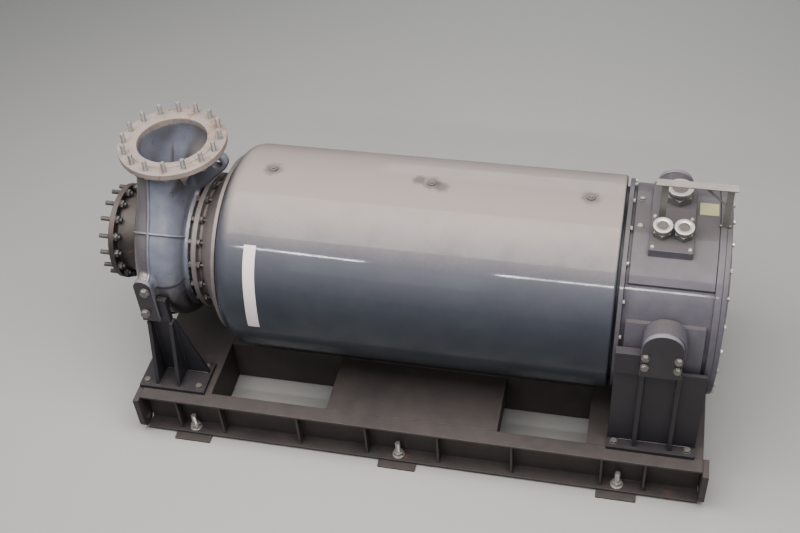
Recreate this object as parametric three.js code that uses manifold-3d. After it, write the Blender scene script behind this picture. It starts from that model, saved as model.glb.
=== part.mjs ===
// A horizontal dry-installed sewage pump set: spiral casing, bearing bracket,
// motor in a cooling jacket and cable head, carried by two pairs of brackets
// on a welded base frame. Millimetres, +Z up, +X along the shaft from the
// suction flange to the motor end, Y = 0 in the shaft's upright plane and
// Z = 0 at the underside of the anchor plates. The origin is the middle of
// the footprint.
import * as THREE from 'three';
import { mergeVertices } from 'three/addons/utils/BufferGeometryUtils.js';
import Module from 'manifold-3d';

const wasm = await Module();
wasm.setup();

// Lengths along the shaft are stations from the motor jacket's left end, and
// heights on the pump itself are counted from the shaft's axis. Pieces that
// touch keep a seam between them.
const shaftHeight = 850;
const seam = 0.3;

// Base frame
const frame = {
  left: -480, right: 2431, bottom: 10, top: 270,
  tip: 657, web: 582, inner: 572, flange: 14,
};
const suctionBeam = { left: -480, right: -103, wall: 12 };
const motorBeam = { left: 1864, right: 2431, wall: 12 };
const spine = { halfWidth: 215, wall: 10 };
const middlePlate = { left: 525, right: 1418, thickness: 14, drop: 120 };
const gussets = { at: [-291, -49, 375, 741, 1120, 1500, 1950, 2163], thickness: 12, tip: 640 };
const anchors = { at: [-218, 905, 2033], halfWidth: 100, outer: 700, inner: 560, bolt: 618 };
const anchorBolt = { radius: 15, top: 122, nutRadius: 28, nutHeight: 26, washerRadius: 33, washer: 6 };
const lug = { outer: 682, inner: 572, thickness: 30, bottom: 24, top: 262, hole: 24 };
const studHole = anchorBolt.radius + 3;

// Pump casing and its suction nozzle
const casing = {
  left: -450, right: -215, tongue: 335, mouth: 455, tongueAngle: 74, sweep: 338,
  edge: 80, wall: 24, thickWall: 32, rimRight: -185, rimRadius: 345,
};
const ridge = { left: -360, right: -344, height: 10, angle: 136.5, width: 12 };
const neck = {
  station: -277, foot: -332, y: -228, bottom: 60, flare: 452, top: 622, narrow: 118, deep: 196, round: 195,
  bore: 175, square: 0.65,
};
const brackets = { angles: [-121, -59, 59, 121], thickness: 16, foot: 505, root: 120, reach: 256 };
const discharge = { radius: 270, bottom: 616, top: 652, raised: 215, step: 4, boltCircle: 240 };
const suction = {
  face: -665, flange: 252.5, thickness: 34, bore: 175, outer: 205, raised: 214, lip: 4, boltCircle: 230,
};
const studs = { count: 16, radius: 12, headRadius: 21, head: 16, proud: 55 };
const backCover = { right: -165, radius: 318, spigot: 300, hole: 62 };
const bracketBody = {
  left: -164.7, right: -0.3, cover: 355, plate: 26, neck: 296, radius: 452, flange: 462, flangeThickness: 20,
};
const wheel = {
  radius: 262, back: -262, plate: 16, hub: 70, nose: -350, end: -225, shaft: 50,
  shroud: -362, inlet: -408, mouth: 168, vanes: 3, vane: 14, vaneFrom: 66, vaneTurn: 2.2,
};
const eye = {
  x: -60, height: 545, radius: 56, hole: 26, halfThickness: 24, from: -46, to: 132,
  armLeft: -262, armRight: -186, armFoot: 300, armHeel: 345, armTop: 440,
};

// Motor in its jacket, cable head and end cover
const jacket = { length: 1935, radius: 525, shoulder: 90 };
const plugs = { at: [231, 1020, 1776], radius: 20, height: 12 };
const headFlange = { left: 1948, right: 1970, radius: 512 };
const gapRingRadius = 470;
const head = {
  right: 2399, radius: 480, hoodLeft: 1984, hood: 494, hoodAngle: 43.5, rim: 504, rimLeft: 2369,
};
const lowerShell = { left: 1990, right: 2352, ledge: 200, radius: 500 };
const endCover = { right: 2424, radius: 500, dome: 2448, domeRadius: 330 };

// Cable entry on the head
const entry = { left: 2058, right: 2257, front: -250, frontTop: 466, back: 175, backTop: 512, bottom: 380 };
const glands = [
  { name: 'cable_gland_left', x: 2112, y: -150, size: 46, length: 62, bore: 25 },
  { name: 'cable_gland_right', x: 2207, y: -150, size: 46, length: 62, bore: 25 },
  { name: 'cable_gland_rear', x: 2176, y: 64, size: 62, length: 72, bore: 36 },
];
const rack = {
  left: 2104, right: 2388, y: -84, bar: 728, post: 15, strip: 8, foot: 26,
  tray: 22, leftEnd: 2064, rightEnd: 2418, braceDrop: 115, braceReach: 119,
};

// Bracket under the casing and the pedestal under the head
const leg = {
  pad: { left: -499, right: -138, outer: -590, inner: -380 },
  ribs: [-400, -282], rib: { foot: -572, head: -480, back: -436 },
  web: { y: [-454, -434], left: -410, right: -150, topRight: -272 },
  top: { left: -425, right: -285, y: [-466, -434], from: -172, to: -18 },
};
const pedestal = {
  pad: { left: 1960, right: 2386, outer: -592, inner: -380 },
  ribs: [2093, 2263], rib: { foot: -572, head: -558, back: -520 },
  web: { y: [-535, -515], left: 1963, right: 2386, topRight: 2386 },
  top: { left: 1963, right: 2268, y: [-560, -515], from: -36, to: 97 },
};
const supportPlate = 20;
const casingClamp = { left: -424, right: -332, y: [-490, -466.3], bottom: -152, top: 130 };
const headClamp = { left: 2078, right: 2262, y: [-585, -560.3], bottom: -15, top: 264 };
const casingLug = { left: -421, right: -335, y: [-466, -330], bottom: -14, top: 126 };
const headLug = { left: 2074, right: 2274, y: [-560, -470], bottom: 97.3, top: 262 };

// The origin lies halfway between the suction studs' ends and the motor end's lugs.
const leftEnd = suction.face + suction.lip - studs.proud;
const rightEnd = frame.right + seam + lug.thickness;
const station = (length) => length - (leftEnd + rightEnd) / 2;
const high = (height) => shaftHeight + height;

// Paints and metals
function paint(color, roughness, metalness = 0.1) {
  return new THREE.MeshStandardMaterial({ color, roughness, metalness });
}

const jacketPaint = paint(0x8d8a92, 0.35);
const castPaint = paint(0x7d8699, 0.4);
const headPaint = paint(0x85818a, 0.45);
const framePaint = paint(0x5f5450, 0.75);
const supportPaint = paint(0x4b4749, 0.7);
const zinc = paint(0xb9b6b0, 0.4, 0.9);
const rubber = paint(0x2a2a2c, 0.85, 0);

// A closed mesh with shared corners and its faces turned outwards.
function closed(geometry) {
  const bare = geometry.clone();
  bare.deleteAttribute('normal');
  bare.deleteAttribute('uv');
  const merged = mergeVertices(bare, 1e-3);
  const corners = merged.attributes.position.array;
  const faces = [];
  let volume = 0;
  for (let i = 0; i < merged.index.count; i += 3) {
    const [a, b, c] = [0, 1, 2].map((k) => merged.index.getX(i + k));
    if (a === b || b === c || c === a) continue;
    faces.push(a, b, c);
    const [p, q, r] = [a, b, c].map((k) => new THREE.Vector3().fromArray(corners, 3 * k));
    volume += p.dot(q.cross(r));
  }
  if (volume < 0) {
    for (let i = 0; i < faces.length; i += 3) [faces[i], faces[i + 1]] = [faces[i + 1], faces[i]];
  }
  return { corners: new Float32Array(corners), faces: new Uint32Array(faces) };
}

function solid(geometry) {
  const { corners, faces } = closed(geometry);
  return new wasm.Manifold(new wasm.Mesh({ numProp: 3, vertProperties: corners, triVerts: faces }));
}

const join = (...solids) => solids.reduce((whole, next) => whole.add(next));
const cut = (whole, ...tools) => tools.reduce((rest, tool) => rest.subtract(tool), whole);

// The mirror image across the shaft's upright plane.
function mirrored(body) {
  const mesh = body.getMesh();
  const geometry = toGeometry(mesh.vertProperties, mesh.triVerts);
  return solid(geometry.scale(1, -1, 1));
}

function toGeometry(corners, faces) {
  const geometry = new THREE.BufferGeometry();
  geometry.setAttribute('position', new THREE.BufferAttribute(new Float32Array(corners), 3));
  geometry.setIndex(new THREE.BufferAttribute(new Uint32Array(faces), 1));
  return geometry;
}

const model = new THREE.Group();

function add(name, body, material) {
  const mesh = body.getMesh();
  const geometry = toGeometry(mesh.vertProperties, mesh.triVerts);
  geometry.computeVertexNormals();
  const piece = new THREE.Mesh(geometry, material);
  piece.name = name;
  model.add(piece);
}

// A block between two corners, each side given as [low, high].
function block([x0, x1], [y0, y1], [z0, z1]) {
  const geometry = new THREE.BoxGeometry(x1 - x0, y1 - y0, z1 - z0);
  return solid(geometry.translate((x0 + x1) / 2, (y0 + y1) / 2, (z0 + z1) / 2));
}

const outline = (points) => new THREE.Shape(points.map(([a, b]) => new THREE.Vector2(a, b)));

const alongX = new THREE.Matrix4().makeBasis(
  new THREE.Vector3(0, 1, 0), new THREE.Vector3(0, 0, 1), new THREE.Vector3(1, 0, 0));

// A shape in Y and Z carried along X, with an optional rounded edge.
function barX(shape, from, to, edge = 0, curveSegments = 12) {
  const geometry = new THREE.ExtrudeGeometry(shape, {
    depth: to - from - 2 * edge, steps: 1, curveSegments, bevelEnabled: edge > 0,
    bevelThickness: edge, bevelSize: edge * 0.7, bevelOffset: -edge * 0.7, bevelSegments: 3,
  });
  return solid(geometry.applyMatrix4(alongX).translate(from + edge, 0, 0));
}

// A shape in X and Z carried along Y.
function barY(shape, from, to, curveSegments = 12) {
  const depth = to - from;
  const geometry = new THREE.ExtrudeGeometry(shape, { depth, steps: 1, curveSegments, bevelEnabled: false });
  return solid(geometry.rotateX(Math.PI / 2).translate(0, to, 0));
}

// A round bar of any number of sides, upright, along Y or along X.
function pin(axis, radius, from, to, a, b, sides = 12) {
  const geometry = new THREE.CylinderGeometry(radius, radius, to - from, sides);
  const middle = (from + to) / 2;
  if (axis === 'z') geometry.rotateX(Math.PI / 2).translate(a, b, middle);
  if (axis === 'y') geometry.translate(a, middle, b);
  if (axis === 'x') geometry.rotateZ(-Math.PI / 2).translate(middle, a, b);
  return solid(geometry);
}

// A body turned about the shaft: points are [station, radius], closed by the axis.
function turned(points, sides = 48) {
  const profile = points.map(([x, r]) => new THREE.Vector2(r, station(x)));
  const geometry = new THREE.LatheGeometry([...profile, profile[0].clone()], sides);
  return solid(geometry.rotateZ(-Math.PI / 2).translate(0, 0, shaftHeight));
}

const disc = (from, to, radius, sides) => turned([[from, 0], [from, radius], [to, radius], [to, 0]], sides);

// Like pieces set round the shaft at equal angles.
function around(count, make, offset = 0) {
  const pieces = [];
  for (let i = 0; i < count; i += 1) {
    const angle = offset + (2 * Math.PI * i) / count;
    pieces.push(make(Math.cos(angle), Math.sin(angle)));
  }
  return pieces;
}

// Base frame
function longeron() {
  const { tip, web, inner, bottom, top, flange } = frame;
  const section = outline([
    [-tip, bottom + seam], [-inner, bottom + seam], [-inner, top], [-tip, top],
    [-tip, top - flange], [-web, top - flange], [-web, bottom + flange], [-tip, bottom + flange],
  ]);
  const channel = barX(section, station(frame.left), station(frame.right));
  const ribs = gussets.at.map((x) => block(
    [station(x) - gussets.thickness / 2, station(x) + gussets.thickness / 2],
    [-gussets.tip, -web + 1], [bottom + flange - 1, top - flange + 1]));
  const holes = anchors.at.map((x) => pin(
    'z', studHole, bottom - 1, bottom + flange + 1, station(x), -anchors.bolt, 10));
  return cut(join(channel, ...ribs), ...holes);
}

// A cross beam is a box section open at both ends, where the longerons close it.
function crossBeam({ left, right, wall }) {
  const x = [station(left), station(right)];
  const z = [frame.bottom + seam, frame.top];
  const section = outline([[x[0], z[0]], [x[1], z[0]], [x[1], z[1]], [x[0], z[1]]]);
  section.holes.push(outline([
    [x[0] + wall, z[0] + wall], [x[1] - wall, z[0] + wall],
    [x[1] - wall, z[1] - wall], [x[0] + wall, z[1] - wall],
  ]));
  return barY(section, -frame.inner + seam, frame.inner - seam);
}

function spineBeam() {
  const { halfWidth, wall } = spine;
  const z = [frame.bottom + seam, frame.top];
  const section = outline([[-halfWidth, z[0]], [halfWidth, z[0]], [halfWidth, z[1]], [-halfWidth, z[1]]]);
  section.holes.push(outline([
    [-halfWidth + wall, z[0] + wall], [halfWidth - wall, z[0] + wall],
    [halfWidth - wall, z[1] - wall], [-halfWidth + wall, z[1] - wall],
  ]));
  return barX(section, station(suctionBeam.right) + seam, station(motorBeam.left) - seam);
}

function bridgePlate() {
  const { left, right, thickness, drop } = middlePlate;
  const x = [station(left), station(right)];
  const section = outline([
    [x[0], frame.top - drop], [x[0] + thickness, frame.top - drop], [x[0] + thickness, frame.top - thickness],
    [x[1] - thickness, frame.top - thickness], [x[1] - thickness, frame.top - drop], [x[1], frame.top - drop],
    [x[1], frame.top], [x[0], frame.top],
  ]);
  return barY(section, -frame.inner + seam, -spine.halfWidth - seam);
}

// An anchor plate with its stud, washer and nut, which hold the channel down.
function anchor(at) {
  const x = station(at);
  const floor = frame.bottom + frame.flange + seam;
  const { radius, top, nutRadius, nutHeight, washerRadius, washer } = anchorBolt;
  return join(
    block(
      [x - anchors.halfWidth, x + anchors.halfWidth], [-anchors.outer, -anchors.inner], [0, frame.bottom]),
    pin('z', radius, frame.bottom - 2, top, x, -anchors.bolt, 10),
    pin('z', washerRadius, floor, floor + washer, x, -anchors.bolt, 16),
    pin('z', nutRadius, floor + washer - 0.5, floor + washer + nutHeight, x, -anchors.bolt, 6));
}

// A plate with a round lower end and a hole, welded across the frame's corner.
function cornerLug(from) {
  const { outer, inner, bottom, top, hole } = lug;
  const radius = (outer - inner) / 2;
  const y = -(outer + inner) / 2;
  const shape = new THREE.Shape();
  shape.moveTo(-inner, top);
  shape.lineTo(-outer, top);
  shape.lineTo(-outer, bottom + radius);
  shape.absarc(y, bottom + radius, radius, Math.PI, 2 * Math.PI, false);
  shape.lineTo(-inner, top);
  const rim = new THREE.Path();
  rim.absarc(y, bottom + radius, hole, 0, 2 * Math.PI, true);
  shape.holes.push(rim);
  return barX(shape, from, from + lug.thickness);
}

// Supports

// An upright body with a half-round top. The clamp plates, which tie the casing
// and the head to their supports, have this form, and so do the lugs behind them.
function arched({ left, right, y, bottom, top }) {
  const radius = (right - left) / 2;
  const x = station((left + right) / 2);
  const shape = new THREE.Shape();
  shape.moveTo(x - radius, high(bottom));
  shape.lineTo(x + radius, high(bottom));
  shape.lineTo(x + radius, high(top) - radius);
  shape.absarc(x, high(top) - radius, radius, 0, Math.PI, false);
  shape.lineTo(x - radius, high(bottom));
  return barY(shape, y[0], y[1], 8);
}

// A base pad, an upright web, two ribs and the thick top that the clamp plate is bolted to.
function support({ pad, ribs, rib, web, top }) {
  const floor = frame.top + seam;
  const deck = floor + supportPlate;
  const padBlock = block([station(pad.left), station(pad.right)], [pad.outer, pad.inner], [floor, deck]);
  const webShape = outline([
    [station(web.left), deck - 1], [station(web.right), deck - 1],
    [station(web.topRight), high(top.from) + 1], [station(web.left), high(top.from) + 1],
  ]);
  const webPlate = barY(webShape, web.y[0], web.y[1]);
  const ribShape = outline([
    [rib.foot, deck - 1], [rib.back, deck - 1], [rib.back, high(top.from) + 1],
    [rib.head, high(top.from) + 1],
  ]);
  const half = supportPlate / 2;
  const ribPlates = ribs.map((x) => barX(ribShape, station(x) - half, station(x) + half));
  const topBlock = block([station(top.left), station(top.right)], top.y, [high(top.from), high(top.to)]);
  return join(padBlock, webPlate, ...ribPlates, topBlock);
}

// Casing

// The spiral's outline about the shaft, growing from the tongue behind the neck,
// over the rear and under the shaft, to the mouth in front.
const spiralRadius = (share) => THREE.MathUtils.lerp(casing.tongue, casing.mouth, share);

function spiral(shrink) {
  const steps = 36;
  const points = [];
  for (let i = 0; i < steps; i += 1) {
    const share = i / (steps - 1);
    const angle = THREE.MathUtils.degToRad(casing.tongueAngle - share * casing.sweep);
    const radius = spiralRadius(share) - shrink;
    points.push([radius * Math.cos(angle), shaftHeight + radius * Math.sin(angle)]);
  }
  return outline(points);
}

// A ridge across the spiral's width, high on its front side, with its ends
// sloped to follow the rounded edges.
function crossRidge() {
  const { left, right, edge } = casing;
  const share = (casing.tongueAngle + 360 - ridge.angle) / casing.sweep;
  const crest = spiralRadius(share) + ridge.height;
  const [from, to] = [station(left), station(right)];
  const shape = outline([
    [from + 2, crest - edge], [to - 2, crest - edge], [to - 6, crest - edge * 0.55],
    [to - edge, crest], [from + edge, crest], [from + 6, crest - edge * 0.55],
  ]);
  const geometry = new THREE.ExtrudeGeometry(shape, { depth: ridge.width, bevelEnabled: false });
  geometry.rotateX(Math.PI / 2).translate(0, ridge.width / 2, 0);
  geometry.rotateX(THREE.MathUtils.degToRad(ridge.angle - 90));
  return solid(geometry.translate(0, 0, shaftHeight));
}

// The neck bends from the spiral's front side to the flange over the shaft, and
// its section grows from a squared oval to a circle.
function neckBody(shrink, from, to) {
  const geometry = new THREE.CylinderGeometry(1, 1, 1, 32, 10);
  const position = geometry.attributes.position;
  for (let i = 0; i < position.count; i += 1) {
    const height = THREE.MathUtils.lerp(from, to, position.getY(i) + 0.5);
    const share = THREE.MathUtils.clamp((height - neck.bottom) / (neck.top - neck.bottom), 0, 1);
    const turn = THREE.MathUtils.smoothstep(share, 0, 1);
    const flare = THREE.MathUtils.smoothstep(height, neck.flare, neck.top);
    const halfX = THREE.MathUtils.lerp(neck.narrow, neck.round, flare) - shrink;
    const halfY = THREE.MathUtils.lerp(neck.deep, neck.round, turn) - shrink;
    const power = THREE.MathUtils.lerp(neck.square, 1, flare);
    const squared = (v) => Math.sign(v) * Math.abs(v) ** power;
    const middle = station(THREE.MathUtils.lerp(neck.foot, neck.station, flare));
    const x = middle + halfX * squared(position.getX(i));
    const y = neck.y * (1 - turn) + halfY * squared(position.getZ(i));
    position.setXYZ(i, x, y, high(height));
  }
  return solid(geometry);
}

// A wedge between the neck and the underside of its flange.
function flangeBracket(angle) {
  const { thickness, foot, root, reach } = brackets;
  const seat = high(discharge.bottom) + 1;
  const shape = outline([
    [root, high(foot)], [neck.round - 10, high(foot)], [reach, seat - 20], [reach, seat], [root, seat],
  ]);
  const geometry = new THREE.ExtrudeGeometry(shape, { depth: thickness, bevelEnabled: false });
  geometry.rotateX(Math.PI / 2).translate(0, thickness / 2, 0);
  geometry.rotateZ(THREE.MathUtils.degToRad(angle));
  return solid(geometry.translate(station(neck.station), 0, 0));
}

function studRing(centreX, centreY, centreZ, axis, circle, back, face) {
  const half = Math.PI / studs.count;
  return around(studs.count, (c, s) => {
    const alongShaft = axis === 'x';
    const [a, b] = alongShaft
      ? [centreY + circle * c, centreZ + circle * s] : [centreX + circle * c, centreY + circle * s];
    const inward = alongShaft ? 1 : -1;
    const nutEnds = [back - inward, back + inward * studs.head].sort((p, q) => p - q);
    const rodEnds = [face + inward, face - inward * studs.proud].sort((p, q) => p - q);
    return join(
      pin(axis, studs.headRadius, nutEnds[0], nutEnds[1], a, b, 6),
      pin(axis, studs.radius, rodEnds[0], rodEnds[1], a, b, 6));
  }, half);
}

function casingBody() {
  const { left, right, edge, wall } = casing;
  const x = [station(left), station(right)];
  const outer = barX(spiral(0), x[0], x[1], edge);
  const midRidge = barX(spiral(-ridge.height), station(ridge.left), station(ridge.right));
  const neckX = station(neck.station);
  const neckTube = neckBody(0, neck.bottom, discharge.bottom + 2);
  const rim = discharge.top - discharge.step;
  const flange = pin('z', discharge.radius, high(discharge.bottom), high(rim), neckX, 0, 40);
  const raised = pin('z', discharge.raised, high(rim - 1), high(discharge.top), neckX, 0, 40);
  const studPieces = studRing(neckX, 0, 0, 'z', discharge.boltCircle, high(discharge.bottom), high(rim));
  const backRim = disc(right - 1, casing.rimRight, casing.rimRadius);
  const sideLug = arched(casingLug);
  const body = join(
    outer, midRidge, crossRidge(), neckTube, flange, raised, ...brackets.angles.map(flangeBracket),
    ...studPieces, backRim, sideLug, mirrored(sideLug), liftingEye());
  const hollow = barX(spiral(casing.thickWall), x[0] + wall, x[1] - wall, edge * 0.6);
  const hollowNeck = neckBody(neck.round - neck.bore, neck.bottom + 60, discharge.top + 4);
  const suctionEye = disc(left - 5, left + wall + 5, suction.bore);
  const backHole = disc(right - wall - 30, casing.rimRight + 5, backCover.spigot + seam);
  return cut(body, hollow, hollowNeck, suctionEye, backHole);
}

// The lifting eye stands behind the neck, on an arm cast to the casing.
function liftingEye() {
  const shape = new THREE.Shape();
  const x = station(eye.x);
  const [from, to] = [eye.from, eye.to].map(THREE.MathUtils.degToRad);
  shape.moveTo(station(eye.armLeft), high(eye.armFoot));
  shape.lineTo(station(eye.armRight), high(eye.armHeel));
  shape.absarc(x, high(eye.height), eye.radius, from, to, false);
  shape.lineTo(station(eye.armLeft), high(eye.armTop));
  const rim = new THREE.Path();
  rim.absarc(x, high(eye.height), eye.hole, 0, 2 * Math.PI, true);
  shape.holes.push(rim);
  return barY(shape, -eye.halfThickness, eye.halfThickness, 8);
}

function suctionNozzle() {
  const { face, flange, thickness, bore, outer, raised, lip } = suction;
  const back = casing.left - seam;
  const body = turned([
    [face, bore], [face, raised], [face + lip, raised], [face + lip, flange], [face + thickness, flange],
    [face + thickness, outer + 8], [face + thickness + 14, outer], [back - 34, outer + 4], [back - 22, 262],
    [back, 262], [back, bore],
  ], 40);
  const studPieces = studRing(
    0, 0, shaftHeight, 'x', suction.boltCircle, station(face + thickness), station(face + lip));
  return join(body, ...studPieces);
}

// The impeller: a back plate on its hub, a ring round the inlet and swept vanes between them.
function impeller() {
  const { radius, back, plate, hub, nose, end, shroud, inlet, mouth } = wheel;
  const { vanes, vane, vaneFrom, vaneTurn } = wheel;
  const front = back - plate;
  const neckRadius = hub - 10;
  const backPlate = turned([
    [front, 0], [front, radius], [back, radius], [back, neckRadius], [end, neckRadius], [end, 0],
  ], 32);
  const noseCone = turned([
    [nose, 0], [nose, hub / 2], [nose + 12, hub * 0.75], [front + 1, hub], [front + 1, 0],
  ], 24);
  const ring = turned([
    [inlet, mouth], [inlet, mouth + plate], [inlet + 22, mouth + 26], [shroud - 12, radius],
    [shroud, radius], [shroud - 14, mouth + plate], [inlet + 13, mouth],
  ], 32);
  const steps = 7;
  const vaneBars = [];
  for (let i = 0; i < vanes; i += 1) {
    const inner = [];
    const outer = [];
    for (let k = 0; k <= steps; k += 1) {
      const angle = (2 * Math.PI * i) / vanes + (k / steps) * vaneTurn;
      const middle = THREE.MathUtils.lerp(vaneFrom, radius - 4, k / steps);
      const [low, far] = [middle - vane / 2, middle + vane / 2];
      inner.push([low * Math.cos(angle), shaftHeight + low * Math.sin(angle)]);
      outer.unshift([far * Math.cos(angle), shaftHeight + far * Math.sin(angle)]);
    }
    vaneBars.push(barX(outline([...inner, ...outer]), station(shroud - 10), station(front + 1)));
  }
  return join(backPlate, noseCone, ring, ...vaneBars);
}

function backCoverBody() {
  const inner = casing.right - casing.wall;
  const { right, radius, spigot, hole } = backCover;
  return turned([
    [inner, hole], [inner, spigot], [casing.rimRight + seam, spigot], [casing.rimRight + seam, radius],
    [right, radius], [right, hole],
  ]);
}

// The bearing bracket widens as a cone from the flange at the casing to the motor.
// The shaft's end stands out of it, through the cover, to the impeller.
function bearingBracket() {
  const { left, right, cover, plate, radius, flange, flangeThickness } = bracketBody;
  const cone = turned([
    [left, 0], [left, cover], [left + plate, cover], [left + plate, bracketBody.neck],
    [right - flangeThickness, radius], [right - flangeThickness, flange], [right, flange], [right, 0],
  ]);
  const shaftFrom = wheel.end + seam;
  const shaftEnd = turned([
    [shaftFrom, 0], [shaftFrom, wheel.shaft], [left + 1, wheel.shaft + 8], [left + 1, 0],
  ], 24);
  return join(cone, shaftEnd);
}

// Motor

function coolingJacket() {
  const { length, radius, shoulder } = jacket;
  const corner = [0, 0.2, 0.4, 0.6, 0.8, 1].map((share) => {
    const angle = share * (Math.PI / 2);
    return [shoulder * (1 - Math.sin(angle)), radius - shoulder * (1 - Math.cos(angle))];
  }).reverse();
  return turned([[0, 0], ...corner, [length - 12, radius], [length, radius - 12], [length, 0]], 56);
}

function jacketPlug(at) {
  const { radius, height } = plugs;
  const top = high(jacket.radius);
  return join(
    pin('z', radius, top + seam, top + height * 0.55, station(at), 0, 16),
    pin('z', radius * 0.62, top + height * 0.5, top + height, station(at), 0, 6));
}

// The cable head: a barrel with a raised hood over its top, a thicker shell below
// its sides' ledges, the lugs that carry it, and the rim of the end cover.
function connectionHead() {
  const { right, radius, hoodLeft, hood, hoodAngle, rim, rimLeft } = head;
  const left = headFlange.right + seam;
  const barrel = turned([
    [left, 0], [left, radius], [rimLeft, radius], [rimLeft, rim], [right, rim], [right, 0],
  ], 56);
  const hoodShape = new THREE.Shape();
  const from = THREE.MathUtils.degToRad(hoodAngle);
  hoodShape.moveTo(0, shaftHeight);
  hoodShape.lineTo(hood * Math.cos(from), shaftHeight + hood * Math.sin(from));
  hoodShape.absarc(0, shaftHeight, hood, from, Math.PI - from, false);
  hoodShape.lineTo(0, shaftHeight);
  const hoodBody = barX(hoodShape, station(hoodLeft), station(rimLeft) + 1);
  const ledgeAngle = Math.asin(lowerShell.ledge / lowerShell.radius);
  const shellShape = new THREE.Shape();
  shellShape.absarc(0, shaftHeight, lowerShell.radius, ledgeAngle, Math.PI - ledgeAngle, true);
  shellShape.closePath();
  const shell = barX(shellShape, station(lowerShell.left), station(lowerShell.right), 0, 40);
  const sideLug = arched(headLug);
  const body = join(barrel, hoodBody, shell, sideLug, mirrored(sideLug));
  return cut(body, entryBlock(seam));
}

// The entry block, or with some growth the room that it takes in the head's crown.
function entryBlock(growth) {
  const front = entry.front - growth;
  const back = entry.back + growth;
  const shape = outline([
    [front, high(entry.bottom) - growth], [back, high(entry.bottom) - growth],
    [back, high(entry.backTop)], [0, high(entry.backTop)], [front, high(entry.frontTop)],
  ]);
  return barX(shape, station(entry.left) - growth, station(entry.right) + growth);
}

function endCoverBody() {
  const { right, radius, dome, domeRadius } = endCover;
  const left = head.right + seam;
  return turned([
    [left, 0], [left, radius], [right, radius], [right, domeRadius + 40], [right + 14, domeRadius],
    [dome, domeRadius - 60], [dome, 0],
  ], 48);
}

// Cable glands and rack

const entrySlope = (y) => (y > 0 ? entry.backTop
  : THREE.MathUtils.lerp(entry.backTop, entry.frontTop, y / entry.front));

// A gland: hexagonal body, clamp ring and a blind mouth.
function gland({ x, y, size, length, bore }) {
  const tilt = y < 0 ? Math.atan2(entry.backTop - entry.frontTop, -entry.front) : 0;
  const place = new THREE.Matrix4().makeRotationX(tilt)
    .setPosition(station(x), y, high(entrySlope(y)) + seam);
  const hexBody = new THREE.CylinderGeometry(size * 0.98, size * 0.98, length * 0.5, 6)
    .rotateX(Math.PI / 2).translate(0, 0, length * 0.25);
  const collar = new THREE.CylinderGeometry(size * 0.8, size * 0.86, length * 0.3, 20)
    .rotateX(Math.PI / 2).translate(0, 0, length * 0.62);
  const clampRing = new THREE.CylinderGeometry(size, size, length * 0.24, 20)
    .rotateX(Math.PI / 2).translate(0, 0, length * 0.88);
  const mouth = new THREE.CylinderGeometry(bore, bore, length * 0.6, 16)
    .rotateX(Math.PI / 2).translate(0, 0, length * 0.9);
  const body = cut(join(solid(hexBody), solid(collar), solid(clampRing)), solid(mouth));
  return body.transform(place.elements);
}

// Two posts and a bar that carry the cables over the head's edge, with a brace.
function cableRack() {
  const { left, right, y, bar, post, strip, foot, tray, braceDrop, braceReach } = rack;
  const near = y + strip / 2;
  const seats = [
    [left, high(entrySlope(near)) + seam],
    [right, high(Math.sqrt(head.rim ** 2 - near ** 2)) + seam],
  ];
  const depth = [y - strip / 2, near];
  const posts = seats.map(([x, z]) => block([station(x) - post, station(x) + post], depth, [z, high(bar)]));
  const feet = seats.map(([x, z]) => block([station(x) - foot, station(x) + foot], depth, [z, z + strip]));
  const trayX = [station(rack.leftEnd), station(rack.rightEnd)];
  const top = block(trayX, [y - tray, y + tray], [high(bar - 6), high(bar)]);
  const braceTop = station(right - braceReach);
  const braceBar = outline([
    [station(right) - 4, high(bar - braceDrop)], [station(right) + 4, high(bar - braceDrop)],
    [braceTop + strip, high(bar - 3)], [braceTop - strip, high(bar - 3)],
  ]);
  return join(...posts, ...feet, top, barY(braceBar, depth[0], depth[1]));
}

// The set, put together
const frontAndRear = (name, body, material) => {
  add(`${name}_front`, body, material);
  add(`${name}_rear`, mirrored(body), material);
};

frontAndRear('longeron', longeron(), framePaint);
add('suction_cross_beam', crossBeam(suctionBeam), framePaint);
add('motor_cross_beam', crossBeam(motorBeam), framePaint);
add('spine_beam', spineBeam(), framePaint);
frontAndRear('middle_plate', bridgePlate(), framePaint);
anchors.at.forEach((at, i) => frontAndRear(`anchor_${i + 1}`, anchor(at), zinc));
frontAndRear('corner_lug_suction', cornerLug(station(frame.left) - lug.thickness - seam), framePaint);
frontAndRear('corner_lug_motor', cornerLug(station(frame.right) + seam), framePaint);

frontAndRear('casing_leg', support(leg), supportPaint);
frontAndRear('casing_clamp_plate', arched(casingClamp), supportPaint);
frontAndRear('motor_pedestal', support(pedestal), supportPaint);
frontAndRear('head_clamp_plate', arched(headClamp), supportPaint);

add('suction_nozzle', suctionNozzle(), castPaint);
add('spiral_casing', casingBody(), castPaint);
add('impeller', impeller(), castPaint);
add('back_cover', backCoverBody(), castPaint);
add('bearing_bracket', bearingBracket(), castPaint);

add('cooling_jacket', coolingJacket(), jacketPaint);
plugs.at.forEach((at, i) => add(`jacket_plug_${i + 1}`, jacketPlug(at), zinc));
add('jacket_gap_ring', disc(jacket.length + seam, headFlange.left - seam, gapRingRadius), headPaint);
add('head_flange', disc(headFlange.left, headFlange.right, headFlange.radius, 54), headPaint);
add('connection_head', connectionHead(), headPaint);
add('end_cover', endCoverBody(), headPaint);
add('entry_block', entryBlock(0), headPaint);
glands.forEach((one) => add(one.name, gland(one), rubber));
add('cable_rack', cableRack(), zinc);

export default model;
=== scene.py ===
"""Fine surfaces, paint and studio light for a horizontal sewage pump set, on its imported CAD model.

Lengths are metres. Pieces are worked out in the pump's own measure, which starts at the motor
jacket's left end on the shaft: x along the shaft, y to the rear and z up.
"""

import math

import bpy
import numpy as np
from bpy.props import FloatProperty, FloatVectorProperty, IntProperty, PointerProperty
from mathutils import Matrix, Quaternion, Vector


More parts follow.
